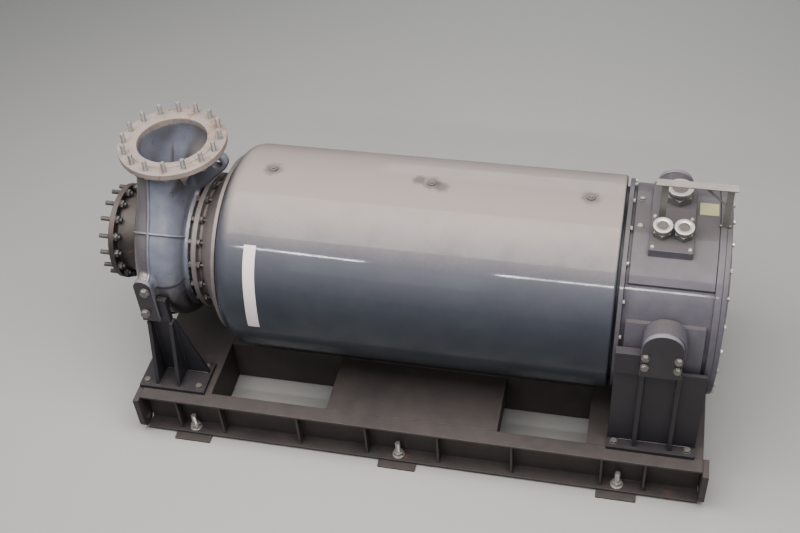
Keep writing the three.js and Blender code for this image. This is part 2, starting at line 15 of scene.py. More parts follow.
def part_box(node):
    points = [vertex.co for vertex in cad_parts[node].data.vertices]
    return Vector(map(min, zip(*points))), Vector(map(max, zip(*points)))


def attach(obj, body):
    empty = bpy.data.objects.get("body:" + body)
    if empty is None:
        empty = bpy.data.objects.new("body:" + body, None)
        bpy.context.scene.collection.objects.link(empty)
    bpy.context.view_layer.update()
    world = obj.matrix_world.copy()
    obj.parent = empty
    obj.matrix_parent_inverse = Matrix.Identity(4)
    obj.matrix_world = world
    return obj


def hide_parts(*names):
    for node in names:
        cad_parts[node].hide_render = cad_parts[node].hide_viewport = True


bl_info = {
    "name": "Horizontal Sewage Pump Set",
    "version": (1, 0, 0),
    "blender": (4, 5, 0),
    "location": "3D View > Sidebar > Pump Set",
    "description": "Builds the fine surfaces, paint and light of a horizontal sewage pump set",
    "category": "Object",
}

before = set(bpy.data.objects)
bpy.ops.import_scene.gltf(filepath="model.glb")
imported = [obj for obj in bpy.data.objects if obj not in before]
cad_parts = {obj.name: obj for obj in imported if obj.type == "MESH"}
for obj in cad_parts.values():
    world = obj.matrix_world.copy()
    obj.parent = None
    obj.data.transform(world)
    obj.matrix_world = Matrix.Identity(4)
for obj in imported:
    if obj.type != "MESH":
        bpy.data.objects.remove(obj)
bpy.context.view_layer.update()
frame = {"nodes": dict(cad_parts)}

JACKET_LOW, JACKET_HIGH = (np.array(corner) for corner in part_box("cooling_jacket"))
ORIGIN = np.array([JACKET_LOW[0], 0.0, (JACKET_LOW[2] + JACKET_HIGH[2]) / 2])
JACKET_RADIUS = (JACKET_HIGH[2] - JACKET_LOW[2]) / 2
FLOOR = -ORIGIN[2]
RIGHT, LEFT, UP = (1.0, 0.0, 0.0), (-1.0, 0.0, 0.0), (0.0, 0.0, 1.0)
SIDES = (("front", -1.0), ("rear", 1.0))
GAP = 0.0003


def pump_box(node):
    """A CAD node's lowest and highest corners in the pump's own measure."""
    low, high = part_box(node)
    return np.array(low) - ORIGIN, np.array(high) - ORIGIN


# Sizes and colours that a user would change, each with its name, description and default


def metres(name, description, default):
    return FloatProperty(name=name, description=description, default=default, unit="LENGTH")


def degrees(name, description, default):
    return FloatProperty(name=name, description=description, default=math.radians(default), subtype="ANGLE")


def whole(name, description, default):
    return IntProperty(name=name, description=description, default=default, min=4)


def position(name, description, default):
    return FloatVectorProperty(
        name=name, description=description, default=default, size=3, subtype="TRANSLATION")


def tint(name, description, default):
    return FloatVectorProperty(
        name=name, description=description, default=default, size=3, min=0, max=1, subtype="COLOR")


class CasingSizes(bpy.types.PropertyGroup):
    tongue: metres("Tongue Radius", "Spiral radius at its start", 0.335)
    mouth: metres("Mouth Radius", "Spiral radius at its end", 0.455)
    tongue_angle: degrees("Tongue Angle", "Where the spiral starts, behind the neck", 74)
    sweep: degrees("Sweep", "Angle over which the spiral grows", 338)
    edge: metres("Edge", "Rounding of the spiral's edges", 0.080)
    grain: metres("Surface Step", "Spacing of the cast surface's points", 0.007)
    ridge: metres("Ridge Height", "Height of the ridges round and across the spiral", 0.010)


class FlangeSizes(bpy.types.PropertyGroup):
    bore: metres("Bore Radius", "Bore of both flanges", 0.175)
    studs: whole("Studs", "Studs round each flange", 16)
    suction_circle: metres("Suction Stud Circle", "Radius of the suction stud circle", 0.230)
    discharge_circle: metres("Discharge Stud Circle", "Radius of the discharge stud circle", 0.240)
    stud: metres("Stud Radius", "Radius of a stud's thread", 0.012)


class MotorSizes(bpy.types.PropertyGroup):
    shoulder: metres("Jacket Shoulder", "Rounding of the jacket's left end", 0.090)
    hood_angle: degrees("Hood Angle", "Where the head's raised hood starts, above the level", 43.5)
    flange_bolts: whole("Flange Bolts", "Bolts round the head's flange", 18)
    cover_bolts: whole("Cover Bolts", "Bolts round the end cover", 24)
    strip_from: degrees("Strip Top", "Angle of the blank strip's upper end", 43.5)
    strip_to: degrees("Strip Bottom", "Angle of the blank strip's lower end", -6.6)


class FinishColours(bpy.types.PropertyGroup):
    jacket: tint("Jacket Paint", "Paint of the cooling jacket", (0.031, 0.036, 0.045))
    casting: tint("Casting Paint", "Paint of the pump castings", (0.125, 0.132, 0.162))
    # The nozzle's dark brown stands for stains together with painted shade from the discharge pipe's shadow.
    nozzle: tint("Nozzle Paint", "Stained paint of the suction nozzle", (0.036, 0.030, 0.028))
    head: tint("Head Paint", "Paint of the cable head", (0.089, 0.083, 0.097))
    support: tint("Support Paint", "Paint of legs and pedestals", (0.026, 0.024, 0.028))
    frame: tint("Frame Paint", "Paint of the base frame", (0.052, 0.044, 0.042))
    dust: tint("Dust", "Dry dust on upper faces", (0.262, 0.220, 0.195))
    # On plate edges this colour makes a light rim: dust and a painted edge highlight.
    haze: tint("Haze", "Thin grey film on the jacket's flanks and on plate edges", (0.150, 0.144, 0.166))
    # Used also for painted shade: the round mark low on the casing.
    oil_and_shade: tint("Oil", "Dark oily dirt round the plugs and low on the casing", (0.022, 0.020, 0.021))
    # Also painted shade: the casing's faces turned down are darkened with this colour.
    grime_and_shade: tint("Grime", "Brown grime on sheltered faces", (0.070, 0.062, 0.061))
    rust: tint("Rust", "Rust where the paint is gone", (0.085, 0.038, 0.020))
    zinc: tint("Zinc", "Zinc plating of the fasteners", (0.42, 0.41, 0.39))
    strip: tint("Strip", "Blank strip on the jacket", (0.52, 0.47, 0.47))
    tag: tint("Tag", "Blank tag on the cable head", (0.21, 0.22, 0.09))
    rubber: tint("Rubber", "Seals in the cable glands", (0.014, 0.014, 0.016))


class StageSizes(bpy.types.PropertyGroup):
    camera: position("Camera Place", "Where the camera stands", (1.1127, -4.1580, 4.9859))
    target: position("Camera Target", "What the camera looks at", (-0.045, 0.0, 0.79))
    roll: degrees("Camera Roll", "Turn about the line of sight", -4.92)
    lens: FloatProperty(
        name="Lens", description="Focal length in millimetres for a 36 mm sensor", default=52.5)
    floor: tint("Floor Colour", "Plain pale floor", (0.30, 0.295, 0.285))
    reach: metres("Floor Reach", "Half the floor's width", 14.0)


# Surfaces


class Skin:
    """Points and the faces between them, as one array of corner numbers for each face size."""

    def __init__(self, points, faces):
        self.points = np.asarray(points, float)
        self.faces = faces


def merged(*skins):
    """Several skins as one."""
    starts = np.cumsum([0] + [len(skin.points) for skin in skins[:-1]])
    faces = [group + start for skin, start in zip(skins, starts) for group in skin.faces]
    return Skin(np.concatenate([skin.points for skin in skins]), faces)


def outward(skin):
    """Turns the faces round where the volume they close, summed over fans of triangles, is below zero."""
    points = skin.points - skin.points.mean(axis=0)
    volume = 0.0
    for group in skin.faces:
        corners = points[group]
        fans = np.cross(corners[:, 1:-1], corners[:, 2:])
        volume += np.einsum("ij,ikj->", corners[:, 0], fans)
    if volume < 0:
        return Skin(skin.points, [group[:, ::-1] for group in skin.faces])
    return skin


def lattice(points, loop=False):
    """A skin over a grid of points whose rows are closed rings.

    loop joins the last row to the first. Otherwise a flat cap closes the first row and the last.
    """
    rows, columns = points.shape[:2]
    index = np.arange(rows * columns).reshape(rows, columns)
    here = index if loop else index[:-1]
    there = np.roll(index, -1, axis=0) if loop else index[1:]
    quads = np.stack([here, np.roll(here, -1, axis=1), np.roll(there, -1, axis=1), there], axis=-1)
    faces = [quads.reshape(-1, 4)]
    if not loop:
        faces += [index[:1, ::-1], index[-1:]]
    return outward(Skin(points.reshape(-1, 3), faces))


def rounded(corners, radii, steps, loop=False):
    """A flat line whose corners are arcs: each arc starts and ends radius * tan(turn / 2) from its corner."""
    corners = np.asarray(corners, float)
    radii = np.broadcast_to(radii, len(corners))
    last = len(corners) - 1
    line = []
    for i, (corner, radius) in enumerate(zip(corners, radii)):
        if radius == 0 or (not loop and i in (0, last)):
            line.append(corner[None])
            continue
        back = corners[i - 1] - corner
        ahead = corners[(i + 1) % len(corners)] - corner
        back_length, ahead_length = np.hypot(*back), np.hypot(*ahead)
        back, ahead = back / back_length, ahead / ahead_length
        half = np.arccos(np.clip(back @ ahead, -1, 1)) / 2
        reach = min(radius / np.tan(half), 0.49 * back_length, 0.49 * ahead_length)
        size = reach * np.tan(half)
        middle = corner + (back + ahead) / np.hypot(*(back + ahead)) * size / np.sin(half)
        first = corner + back * reach - middle
        turn = (np.pi - 2 * half) * np.sign(back[1] * ahead[0] - back[0] * ahead[1])
        angle = np.linspace(0, turn, steps + 1)
        across = np.array([-first[1], first[0]])
        line.append(middle + np.outer(np.cos(angle), first) + np.outer(np.sin(angle), across))
    return np.concatenate(line)


def square_to(along):
    """For each direction, two more that are square to it and to each other, right-handed."""
    along = np.atleast_2d(np.asarray(along, float))
    helper = np.where(np.abs(along[:, 2:]) > 0.8, [RIGHT], [UP])
    side = np.cross(helper, along)
    side /= np.linalg.norm(side, axis=1, keepdims=True)
    return side, np.cross(along, side)


def turned(profile, sides, loop=False, centre=(0.0, 0.0, 0.0), along=RIGHT):
    """A profile of (distance, radius) pairs swept round an axis through the centre."""
    profile = np.asarray(profile, float)
    angle = np.arange(sides) * 2 * np.pi / sides
    side, up = square_to(along)
    ring = np.cos(angle)[:, None] * side + np.sin(angle)[:, None] * up
    points = profile[:, :1, None] * np.asarray(along) + profile[:, 1:, None] * ring
    return lattice(points + np.asarray(centre), loop=loop)


def disc(low, high, inner, outer, edges, steps, sides):
    """A disc about the shaft: a profile with four corners, the outer two rounded, swept round."""
    corners = [(low, inner), (low, outer), (high, outer), (high, inner)]
    return turned(rounded(corners, [0, *edges, 0], steps), sides)


def inset(outline, distance):
    """A closed outline moved inwards: each point goes along the mean of its two sides' normals."""
    ahead = np.roll(outline, -1, axis=0) - outline
    normal = np.stack([-ahead[:, 1], ahead[:, 0]], -1) / np.linalg.norm(ahead, axis=1, keepdims=True)
    both = normal + np.roll(normal, 1, axis=0)
    both /= np.maximum((both ** 2).sum(axis=1, keepdims=True), 0.4) / 2
    area = outline[:, 0] @ np.roll(outline[:, 1], -1) - outline[:, 1] @ np.roll(outline[:, 0], -1)
    return outline + both * distance * np.sign(area)


def plate(outline, low, high, plane, edge):
    """An outline in a main plane, carried square to it from low to high, with quarter-round edges."""
    outline = np.asarray(outline, float)
    order = {"xz": (0, 2, 1), "yz": (1, 2, 0), "xy": (0, 1, 2)}[plane]
    turn = np.linspace(0, np.pi / 2, 4)
    drawn = edge * (1 - np.sin(turn))
    depth = edge * (1 - np.cos(turn))
    rows = [(inset(outline, d), low + h) for d, h in zip(drawn, depth)]
    rows += [(inset(outline, d), high - h) for d, h in zip(drawn[::-1], depth[::-1])]
    points = np.empty((len(rows), len(outline), 3))
    for row, (line, level) in zip(points, rows):
        row[:, order[0]], row[:, order[1]], row[:, order[2]] = line[:, 0], line[:, 1], level
    return lattice(points)


def mirrored(skin):
    """The mirror image across the shaft's upright plane, with its faces outward again."""
    return Skin(skin.points * [1, -1, 1], [group[:, ::-1] for group in skin.faces])


def repeated(skin, places, directions, seed=3):
    """Copies of a skin that stands on +x, each at its place, tipped to its direction and turned about it."""
    places = np.atleast_2d(places)
    directions = np.broadcast_to(np.asarray(directions, float), places.shape)
    side, up = square_to(directions)
    roll = np.random.default_rng(seed).uniform(0, 2 * np.pi, (len(places), 1))
    first = side * np.cos(roll) + up * np.sin(roll)
    second = up * np.cos(roll) - side * np.sin(roll)
    axes = np.stack([directions, first, second], axis=1)
    points = np.einsum("vj,njk->nvk", skin.points, axes) + places[:, None]
    shift = len(skin.points) * np.arange(len(places))[:, None, None]
    faces = [(group[None] + shift).reshape(-1, group.shape[1]) for group in skin.faces]
    return Skin(points.reshape(-1, 3), faces)


def on_circle(x, radius, count, offset=0.5):
    """Places on a circle round the shaft, at equal angles from an offset in steps."""
    angle = (np.arange(count) + offset) * 2 * np.pi / count
    return np.stack([np.full(count, x), radius * np.cos(angle), radius * np.sin(angle)], -1)


# Fasteners and welds


def hexagon(across, height):
    """A hexagonal head on +x, chamfered at 30 degrees: a flat's radius is half the width over a cosine."""
    sides, flat = 48, across / 2
    angle = np.arange(sides) * 2 * np.pi / sides
    radius = flat / np.cos((angle + np.pi / 6) % (np.pi / 3) - np.pi / 6)
    crown = 0.95 * flat
    shoulder = height - (radius - crown) * math.tan(math.radians(30))
    rings = [(np.zeros(sides), radius), (shoulder, radius), (np.full(sides, height), np.full(sides, crown))]
    return lattice(np.stack([np.stack([x, r * np.cos(angle), r * np.sin(angle)], -1) for x, r in rings]))


def washer(radius, thickness):
    """A flat washer on +x with rounded edges."""
    edge = 0.3 * thickness
    return disc(0, thickness, 0.3 * radius, radius, (edge, edge), 2, 32)


def thread(radius, low, high, pitch):
    """A threaded rod along x: the radius falls and rises once for each pitch and each turn."""
    sides, rows_per_pitch = 20, 3
    rows = int(np.ceil((high - low) / pitch * rows_per_pitch)) + 1
    x = np.linspace(low, high, rows)[:, None]
    angle = np.arange(sides)[None] * 2 * np.pi / sides
    phase = (x / pitch - angle / (2 * np.pi)) % 1
    depth = pitch * 0.55 * np.abs(2 * phase - 1)
    tip = np.clip(1 - (high - x) / pitch, 0, 1) * pitch * 0.7
    reach = radius - np.maximum(depth, tip)
    return lattice(np.stack([
        np.broadcast_to(x, reach.shape), reach * np.cos(angle), reach * np.sin(angle)], -1))


def bolt(across):
    """A washer and a hexagonal head in the usual proportions to the width across flats."""
    thin, radius, height = 0.11 * across, 0.66 * across, 0.42 * across
    head = hexagon(across, height)
    return merged(washer(radius, thin), Skin(head.points + [thin, 0, 0], head.faces))


def bead(start, end, width):
    """A weld bead: a round bar along a line whose radius swells and sinks with each ripple."""
    spacing, ripple, swell = 0.006, 0.011, 0.13
    start, end = np.asarray(start, float), np.asarray(end, float)
    length = np.linalg.norm(end - start)
    rows = max(4, int(length / spacing))
    share = np.linspace(0, 1, rows)
    side, up = square_to((end - start) / length)
    fade = np.minimum(1, 8 * np.minimum(share, 1 - share) + 0.5)
    size = width / 2 * fade * (1 + swell * np.sin(share * length / ripple * 2 * np.pi))
    angle = np.arange(8) * np.pi / 4
    ring = np.cos(angle)[:, None] * side + np.sin(angle)[:, None] * up
    path = start + share[:, None] * (end - start)
    return lattice(path[:, None] + size[:, None, None] * ring)


# Shader groups and materials


class Tree:
    """Short calls for wiring one shader node tree."""

    def __init__(self, tree):
        self.tree = tree

    def feed(self, socket, value):
        """Links a socket to a value's own socket, or sets it to a plain number or colour."""
        if isinstance(value, bpy.types.NodeSocket):
            self.tree.links.new(value, socket)
        else:
            socket.default_value = value

    def node(self, kind, feeds=None, **settings):
        """A node with its settings, and with its inputs fed by their names or numbers."""
        made = self.tree.nodes.new(kind)
        for name, value in settings.items():
            setattr(made, name, value)
        for name, value in (feeds or {}).items():
            self.feed(made.inputs[name], value)
        return made

    def math(self, operation, first, second=0.5, clamp=False):
        made = self.node("ShaderNodeMath", {0: first, 1: second}, operation=operation, use_clamp=clamp)
        return made.outputs[0]

    def plus(self, first, second, clamp=False):
        return self.math("ADD", first, second, clamp)

    def minus(self, first, second):
        return self.math("SUBTRACT", first, second)

    def times(self, first, second, clamp=False):
        return self.math("MULTIPLY", first, second, clamp)

    def noise(self, where, scale, detail, roughness):
        """Cloudy noise between 0 and 1."""
        feeds = {"Vector": where, "Scale": scale, "Detail": detail, "Roughness": roughness}
        return self.node("ShaderNodeTexNoise", feeds).outputs["Fac"]

    def ramp(self, value, low, high, first=0.0, second=1.0):
        """The value's way from low to high, smoothed, as a number from first to second."""
        feeds = {"Value": value, "From Min": low, "From Max": high, "To Min": first, "To Max": second}
        return self.node("ShaderNodeMapRange", feeds, interpolation_type="SMOOTHSTEP").outputs["Result"]

    def mix(self, share, first, second, blend="MIX"):
        feeds = {"Factor": share, "A": first, "B": second}
        return self.node("ShaderNodeMix", feeds, data_type="RGBA", blend_type=blend).outputs["Result"]

    def group(self, tree, **values):
        """A shader group with its named inputs fed."""
        feeds = {name.title(): value for name, value in values.items()}
        return self.node("ShaderNodeGroup", feeds, node_tree=tree).outputs

    def place(self):
        """Object coordinates, which are the shared frame's metres."""
        return self.node("ShaderNodeTexCoord").outputs["Object"]

    def parts(self, vector):
        """A vector's X, Y and Z."""
        return self.node("ShaderNodeSeparateXYZ", {0: vector}).outputs

    def facing(self):
        """The X, Y and Z of the surface's normal."""
        return self.parts(self.node("ShaderNodeNewGeometry").outputs["Normal"])


def colour4(value):
    """A colour with full alpha."""
    return (*value[:3], 1.0)


def new_group(name, inputs, outputs):
    """A shader group with its named sockets, and its tree to wire."""
    tree = bpy.data.node_groups.new(name, "ShaderNodeTree")
    for label, kind, default in inputs:
        socket = tree.interface.new_socket(label, in_out="INPUT", socket_type=f"NodeSocket{kind}")
        socket.default_value = default
    for label, kind in outputs:
        tree.interface.new_socket(label, in_out="OUTPUT", socket_type=f"NodeSocket{kind}")
    wiring = Tree(tree)
    return tree, wiring, wiring.node("NodeGroupInput").outputs, wiring.node("NodeGroupOutput").inputs


def dust_group():
    """Dust that settles on faces turned up: thick where they are level, and patchy where they slope."""
    tree, t, given, out = new_group(
        "Settled Dust",
        [("Cover", "Float", 0.8), ("Low", "Float", 0.1), ("High", "Float", 0.9), ("Patches", "Float", 0.35)],
        [("Mask", "Float")])
    where = t.place()
    clouds = t.minus(t.noise(where, 3.1, 5.0, 0.62), 0.5)
    specks = t.minus(t.noise(where, 46.0, 3.0, 0.6), 0.5)
    broken = t.plus(t.times(clouds, given["Patches"]), t.times(specks, t.times(given["Patches"], 0.55)))
    lean = t.plus(t.facing()["Z"], broken)
    t.feed(out["Mask"], t.times(t.ramp(lean, given["Low"], given["High"]), given["Cover"], clamp=True))
    return tree


def mottle_group():
    """Uneven paint: broad clouds and finer blotches that lighten, darken and dull one colour."""
    tree, t, given, out = new_group(
        "Uneven Paint",
        [("Paint", "Color", (0.2, 0.2, 0.2, 1)), ("Contrast", "Float", 0.3), ("Gloss", "Float", 0.35)],
        [("Color", "Color"), ("Roughness", "Float")])
    where = t.place()
    clouds = t.noise(where, 2.3, 4.0, 0.6)
    blotches = t.noise(where, 17.0, 5.0, 0.65)
    light = t.ramp(t.plus(t.times(clouds, 0.6), t.times(blotches, 0.4)), 0.3, 0.72)
    shade = t.mix(1.0, given["Paint"], (0.62, 0.62, 0.66, 1), "MULTIPLY")
    bright = t.mix(1.0, given["Paint"], (1.32, 1.30, 1.26, 1), "MULTIPLY")
    t.feed(out["Color"], t.mix(given["Contrast"], given["Paint"], t.mix(light, shade, bright)))
    t.feed(out["Roughness"], t.plus(given["Gloss"], t.times(t.minus(blotches, 0.5), 0.22)))
    return tree


def wear_group():
    """Where paint is lost: blotches that widen with the amount, as a mask and a colour between two rusts."""
    tree, t, given, out = new_group(
        "Lost Paint",
        [("Amount", "Float", 0.3), ("Scale", "Float", 9.0), ("Rust", "Color", (0.13, 0.055, 0.028, 1))],
        [("Mask", "Float"), ("Color", "Color")])
    where = t.place()
    patches = t.noise(where, given["Scale"], 8.0, 0.72)
    edge = t.minus(0.78, t.times(given["Amount"], 0.4))
    t.feed(out["Mask"], t.ramp(patches, edge, t.plus(edge, 0.09)))
    fine = t.noise(where, 85.0, 4.0, 0.7)
    pale = t.mix(1.0, given["Rust"], (1.9, 1.9, 2.0, 1), "MULTIPLY")
    t.feed(out["Color"], t.mix(fine, given["Rust"], pale))
    return tree


def grain_group():
    """The height of a cast or rolled skin: a fine tooth on broad waves."""
    tree, t, given, out = new_group(
        "Metal Skin", [("Scale", "Float", 60.0), ("Waves", "Float", 0.5)], [("Height", "Float")])
    where = t.place()
    tooth = t.noise(where, given["Scale"], 5.0, 0.65)
    waves = t.noise(where, 9.0, 2.0, 0.5)
    t.feed(out["Height"], t.plus(tooth, t.times(waves, given["Waves"])))
    return tree


def grime_and_shade_group():
    """Grime on faces turned to the suction side and on the outside past a border on the shaft, and painted
    shade that darkens faces the more they turn down.
    """
    tree, t, given, out = new_group(
        "Side Grime And Shade", [("Amount", "Float", 0.0), ("Border", "Float", -9.0)], [("Mask", "Float")])
    facing, where = t.facing(), t.place()
    clouds = t.noise(where, 8.0, 4.0, 0.6)
    past = t.ramp(t.minus(t.parts(where)["X"], given["Border"]), 0.002, -0.004)
    outside = t.times(past, t.ramp(facing["X"], 0.30, 0.10))
    away = t.math("MINIMUM", facing["X"], t.minus(facing["Z"], 0.25))
    mask = t.math("MAXIMUM", t.ramp(t.minus(t.times(clouds, 0.3), away), 0.12, 0.72), outside)
    t.feed(out["Mask"], t.times(mask, given["Amount"], clamp=True))
    return tree


def round_mark_group():
    """A round mark at one place: full at its middle and gone past its reach, with a ragged border. It serves
    for stains and for painted shade.
    """
    tree, t, given, out = new_group(
        "Round Mark", [("Centre", "Vector", (0, 0, 0)), ("Reach", "Float", 0.08)], [("Mask", "Float")])
    where = t.place()
    gap = t.node("ShaderNodeVectorMath", {0: where, 1: given["Centre"]}, operation="DISTANCE")
    ragged = t.times(t.minus(t.noise(where, 26.0, 5.0, 0.7), 0.5), given["Reach"])
    away = t.plus(gap.outputs["Value"], ragged)
    t.feed(out["Mask"], t.ramp(away, given["Reach"], t.times(given["Reach"], 0.35)))
    return tree


class Finishes:
    """The shared shader groups, and the materials made so far by name."""

    def __init__(self, colours):
        self.colours = colours
        self.made = {}
        self.dust = dust_group()
        self.mottle = mottle_group()
        self.wear = wear_group()
        self.grain = grain_group()
        self.grime_and_shade = grime_and_shade_group()
        self.round_mark = round_mark_group()

    def painted(self, name, paint, gloss, dust, worn, contrast, skin, bump, metal=0.0, coat=0.0, grime_and_shade=0.0,
                round_marks=(), shine=0.5, dirt=None, haze=None, rim=0.0):
        """Paint with lost patches, grime and painted shade, haze and settled dust, round marks over them, and
        a coat where bare.

        dust is its cover, the two slopes between which it grows, and its patches; haze the first three of
        these. worn is the share of lost paint and its fineness, skin the grain's fineness and waves, and a
        round mark its centre, reach and depth; the jacket's are stains, the casing's is painted shade. rim
        lightens the edge faces of a plate that faces across the shaft: dust and a painted edge highlight.
        """
        if name in self.made:
            return self.made[name]
        material = bpy.data.materials.new(name)
        self.made[name] = material
        material.use_nodes = True
        t = Tree(material.node_tree)
        sockets = material.node_tree.nodes["Principled BSDF"].inputs
        colour = t.group(self.mottle, paint=colour4(paint), contrast=contrast, gloss=gloss)
        lost = t.group(self.wear, amount=worn[0], scale=worn[1], rust=colour4(self.colours.rust))
        film = t.group(self.dust, cover=dust[0], low=dust[1], high=dust[2], patches=dust[3])["Mask"]
        body = t.mix(lost["Mask"], colour["Color"], lost["Color"])
        # Grime on faces turned to the suction side, and painted shade that darkens faces turned down.
        if grime_and_shade:
            grime_and_shade_mask = t.group(self.grime_and_shade, amount=grime_and_shade, border=ORIGIN[0] + RIDGE_X)["Mask"]
            body = t.mix(grime_and_shade_mask, body, colour4(self.colours.grime_and_shade))
        if haze:
            thin = t.group(self.dust, cover=haze[0], low=haze[1], high=haze[2], patches=0.15)["Mask"]
            body = t.mix(thin, body, colour4(self.colours.haze))
        body = t.mix(film, body, colour4(dirt or self.colours.dust))
        # A light rim on a plate's edge faces: dust and a painted edge highlight.
        if rim:
            edge = t.ramp(t.math("ABSOLUTE", t.facing()["Y"]), 0.80, 0.40)
            body = t.mix(t.times(edge, rim), body, colour4(self.colours.haze))
        # Round marks: real stains on the jacket, and painted shade low on the casing.
        for centre, reach, depth in round_marks:
            mark = t.group(self.round_mark, centre=centre, reach=reach)["Mask"]
            body = t.mix(t.times(mark, depth), body, colour4(self.colours.oil_and_shade))
        t.feed(sockets["Base Color"], body)
        sockets["Specular IOR Level"].default_value = shine
        dull = t.plus(colour["Roughness"], t.times(lost["Mask"], 0.4))
        t.feed(sockets["Roughness"], t.plus(dull, t.times(film, 0.35), clamp=True))
        if metal:
            bare = t.minus(1.0, t.math("MAXIMUM", film, lost["Mask"]))
            t.feed(sockets["Metallic"], t.times(bare, metal, clamp=True))
        if coat:
            patchy = t.ramp(t.noise(t.place(), 6.0, 4.0, 0.65), 0.30, 0.62, 0.35, 1.0)
            clear = t.minus(1.0, t.times(film, 0.6))
            t.feed(sockets["Coat Weight"], t.times(t.times(clear, patchy), coat, clamp=True))
            sockets["Coat Roughness"].default_value = 0.06
        grain = t.group(self.grain, scale=skin[0], waves=skin[1])["Height"]
        height = t.minus(grain, t.times(lost["Mask"], 0.6))
        relief = t.node("ShaderNodeBump", {"Strength": bump, "Distance": 0.002, "Height": height})
        t.feed(sockets["Normal"], relief.outputs["Normal"])
        return material

    def jacket(self):
        top = ORIGIN + [0.0, 0.0, JACKET_RADIUS]
        spots = ((0.231, 0.0, 0.060), (1.020, 0.0, 0.060), (1.776, 0.0, 0.060), (1.070, -0.020, 0.050),
                 (0.960, 0.015, 0.045))
        round_marks = [(tuple(top + [x, y, 0.0]), reach, 0.5) for x, y, reach in spots]
        return self.painted("dusty_jacket", self.colours.jacket, 0.42, (0.62, 0.60, 0.97, 0.12), (0.05, 5.0),
                            0.35, (24.0, 0.9), 0.05, coat=0.42, round_marks=round_marks, shine=0.2,
                            haze=(0.34, 0.05, 0.75))

    def casting(self):
        # low is the middle of a dark round mark in the oil colour: painted shade on the lower spiral.
        low = ORIGIN + [-0.20, -0.36, -0.20]
        # Faces turned down are darkened here as painted shade, besides the grime on the suction side.
        return self.painted("cast_blue", self.colours.casting, 0.3, (0.45, 0.35, 1.05, 0.4), (0.22, 7.0),
                            0.6, (75.0, 0.8), 0.3, coat=0.4, grime_and_shade=0.8, round_marks=[(tuple(low), 0.30, 0.85)])

    def nozzle(self):
        # Dark brown paint: stains and rust, with painted shade from the discharge pipe's shadow.
        return self.painted("nozzle_brown", self.colours.nozzle, 0.5, (0.25, 0.35, 1.1, 0.5), (0.5, 12.0),
                            0.6, (75.0, 0.8), 0.35)

    def head(self):
        return self.painted("head_mauve", self.colours.head, 0.34, (0.75, 0.58, 1.0, 0.3), (0.08, 8.0),
                            0.5, (70.0, 0.7), 0.10, coat=0.32, shine=0.2, dirt=self.colours.grime_and_shade)

    def support(self):
        return self.painted("support_dark", self.colours.support, 0.42, (0.06, 0.45, 1.05, 0.5), (0.15, 10.0),
                            0.5, (80.0, 0.5), 0.2)

    def clamp(self):
        # rim gives the plate's edge faces a light rim: dust and a painted edge highlight.
        return self.painted("clamp_dark", self.colours.support, 0.36, (0.40, -0.05, 0.70, 0.3), (0.10, 14.0),
                            0.5, (80.0, 0.5), 0.2, coat=0.3, rim=0.9)

    def frame(self):
        return self.painted("frame_brown", self.colours.frame, 0.6, (0.03, 0.35, 1.1, 1.3), (0.4, 6.0),
                            0.7, (90.0, 0.6), 0.35)

    def zinc(self):
        return self.painted("zinc_plate", self.colours.zinc, 0.34, (0.45, 0.3, 1.2, 0.8), (0.25, 30.0),
                            0.5, (160.0, 0.2), 0.1, metal=0.85)

    def steel(self):
        dull = [0.5 * part for part in self.colours.zinc]
        return self.painted("worn_steel", dull, 0.45, (0.5, 0.2, 1.2, 0.9), (0.45, 22.0),
                            0.6, (140.0, 0.2), 0.2, metal=0.7)

    def nut(self):
        brown = [0.22 * part for part in self.colours.zinc]
        return self.painted("nut_brown", brown, 0.6, (0.25, 0.2, 1.2, 0.9), (0.45, 22.0),
                            0.6, (140.0, 0.2), 0.25, metal=0.4)

    def flange(self):
        crust = [0.72 * part for part in self.colours.dust]
        return self.painted("flange_crust", crust, 0.6, (0.35, -0.65, 0.35, 1.5), (0.62, 11.0),
                            0.9, (70.0, 0.9), 0.6)

    def bracket(self):
        brown = [1.7 * part for part in self.colours.grime_and_shade]
        return self.painted("bracket_brown", brown, 0.45, (0.35, 0.2, 1.1, 0.5), (0.25, 9.0),
                            0.6, (80.0, 0.6), 0.25)

    def tag(self):
        return self.painted("blank_tag", self.colours.tag, 0.4, (0.3, 0.1, 1.1, 0.7), (0.0, 9.0),
                            0.3, (40.0, 0.4), 0.05)

    def strip(self):
        return self.painted("blank_strip", self.colours.strip, 0.38, (0.25, 0.1, 1.0, 0.7), (0.0, 9.0),
                            0.22, (30.0, 0.6), 0.05)

    def rubber(self):
        return self.painted("seal_rubber", self.colours.rubber, 0.7, (0.3, 0.2, 1.1, 0.7), (0.0, 9.0),
                            0.3, (120.0, 0.2), 0.2)


def finishes():
    """The one set of finishes, made when it is first asked for."""
    if not hasattr(finishes, "made"):
        finishes.made = Finishes(bpy.context.scene.pump_finish)
    return finishes.made


# Pieces in the scene


def show(name, skin, material, nodes=(), sharp=35):
    """Puts a skin into the scene as a piece that rides on the set and stands for CAD nodes."""
    mesh = bpy.data.meshes.new(name)
    mesh.vertices.add(len(skin.points))
    mesh.vertices.foreach_set("co", (skin.points + ORIGIN).ravel())
    corners = np.concatenate([group.ravel() for group in skin.faces])
    sizes = np.concatenate([np.full(len(group), group.shape[1]) for group in skin.faces])
    mesh.loops.add(len(corners))
    mesh.loops.foreach_set("vertex_index", corners)
    mesh.polygons.add(len(sizes))
    mesh.polygons.foreach_set("loop_start", np.cumsum(sizes) - sizes)
    mesh.update(calc_edges=True)
    mesh.shade_smooth()
    mesh.set_sharp_from_angle(angle=math.radians(sharp))
    mesh.materials.append(material)
    piece = bpy.data.objects.new(name, mesh)
    bpy.context.scene.collection.objects.link(piece)
    evened = piece.modifiers.new("even_normals", "WEIGHTED_NORMAL")
    evened.keep_sharp = True
    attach(piece, "root")
    if nodes:
        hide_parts(*nodes)


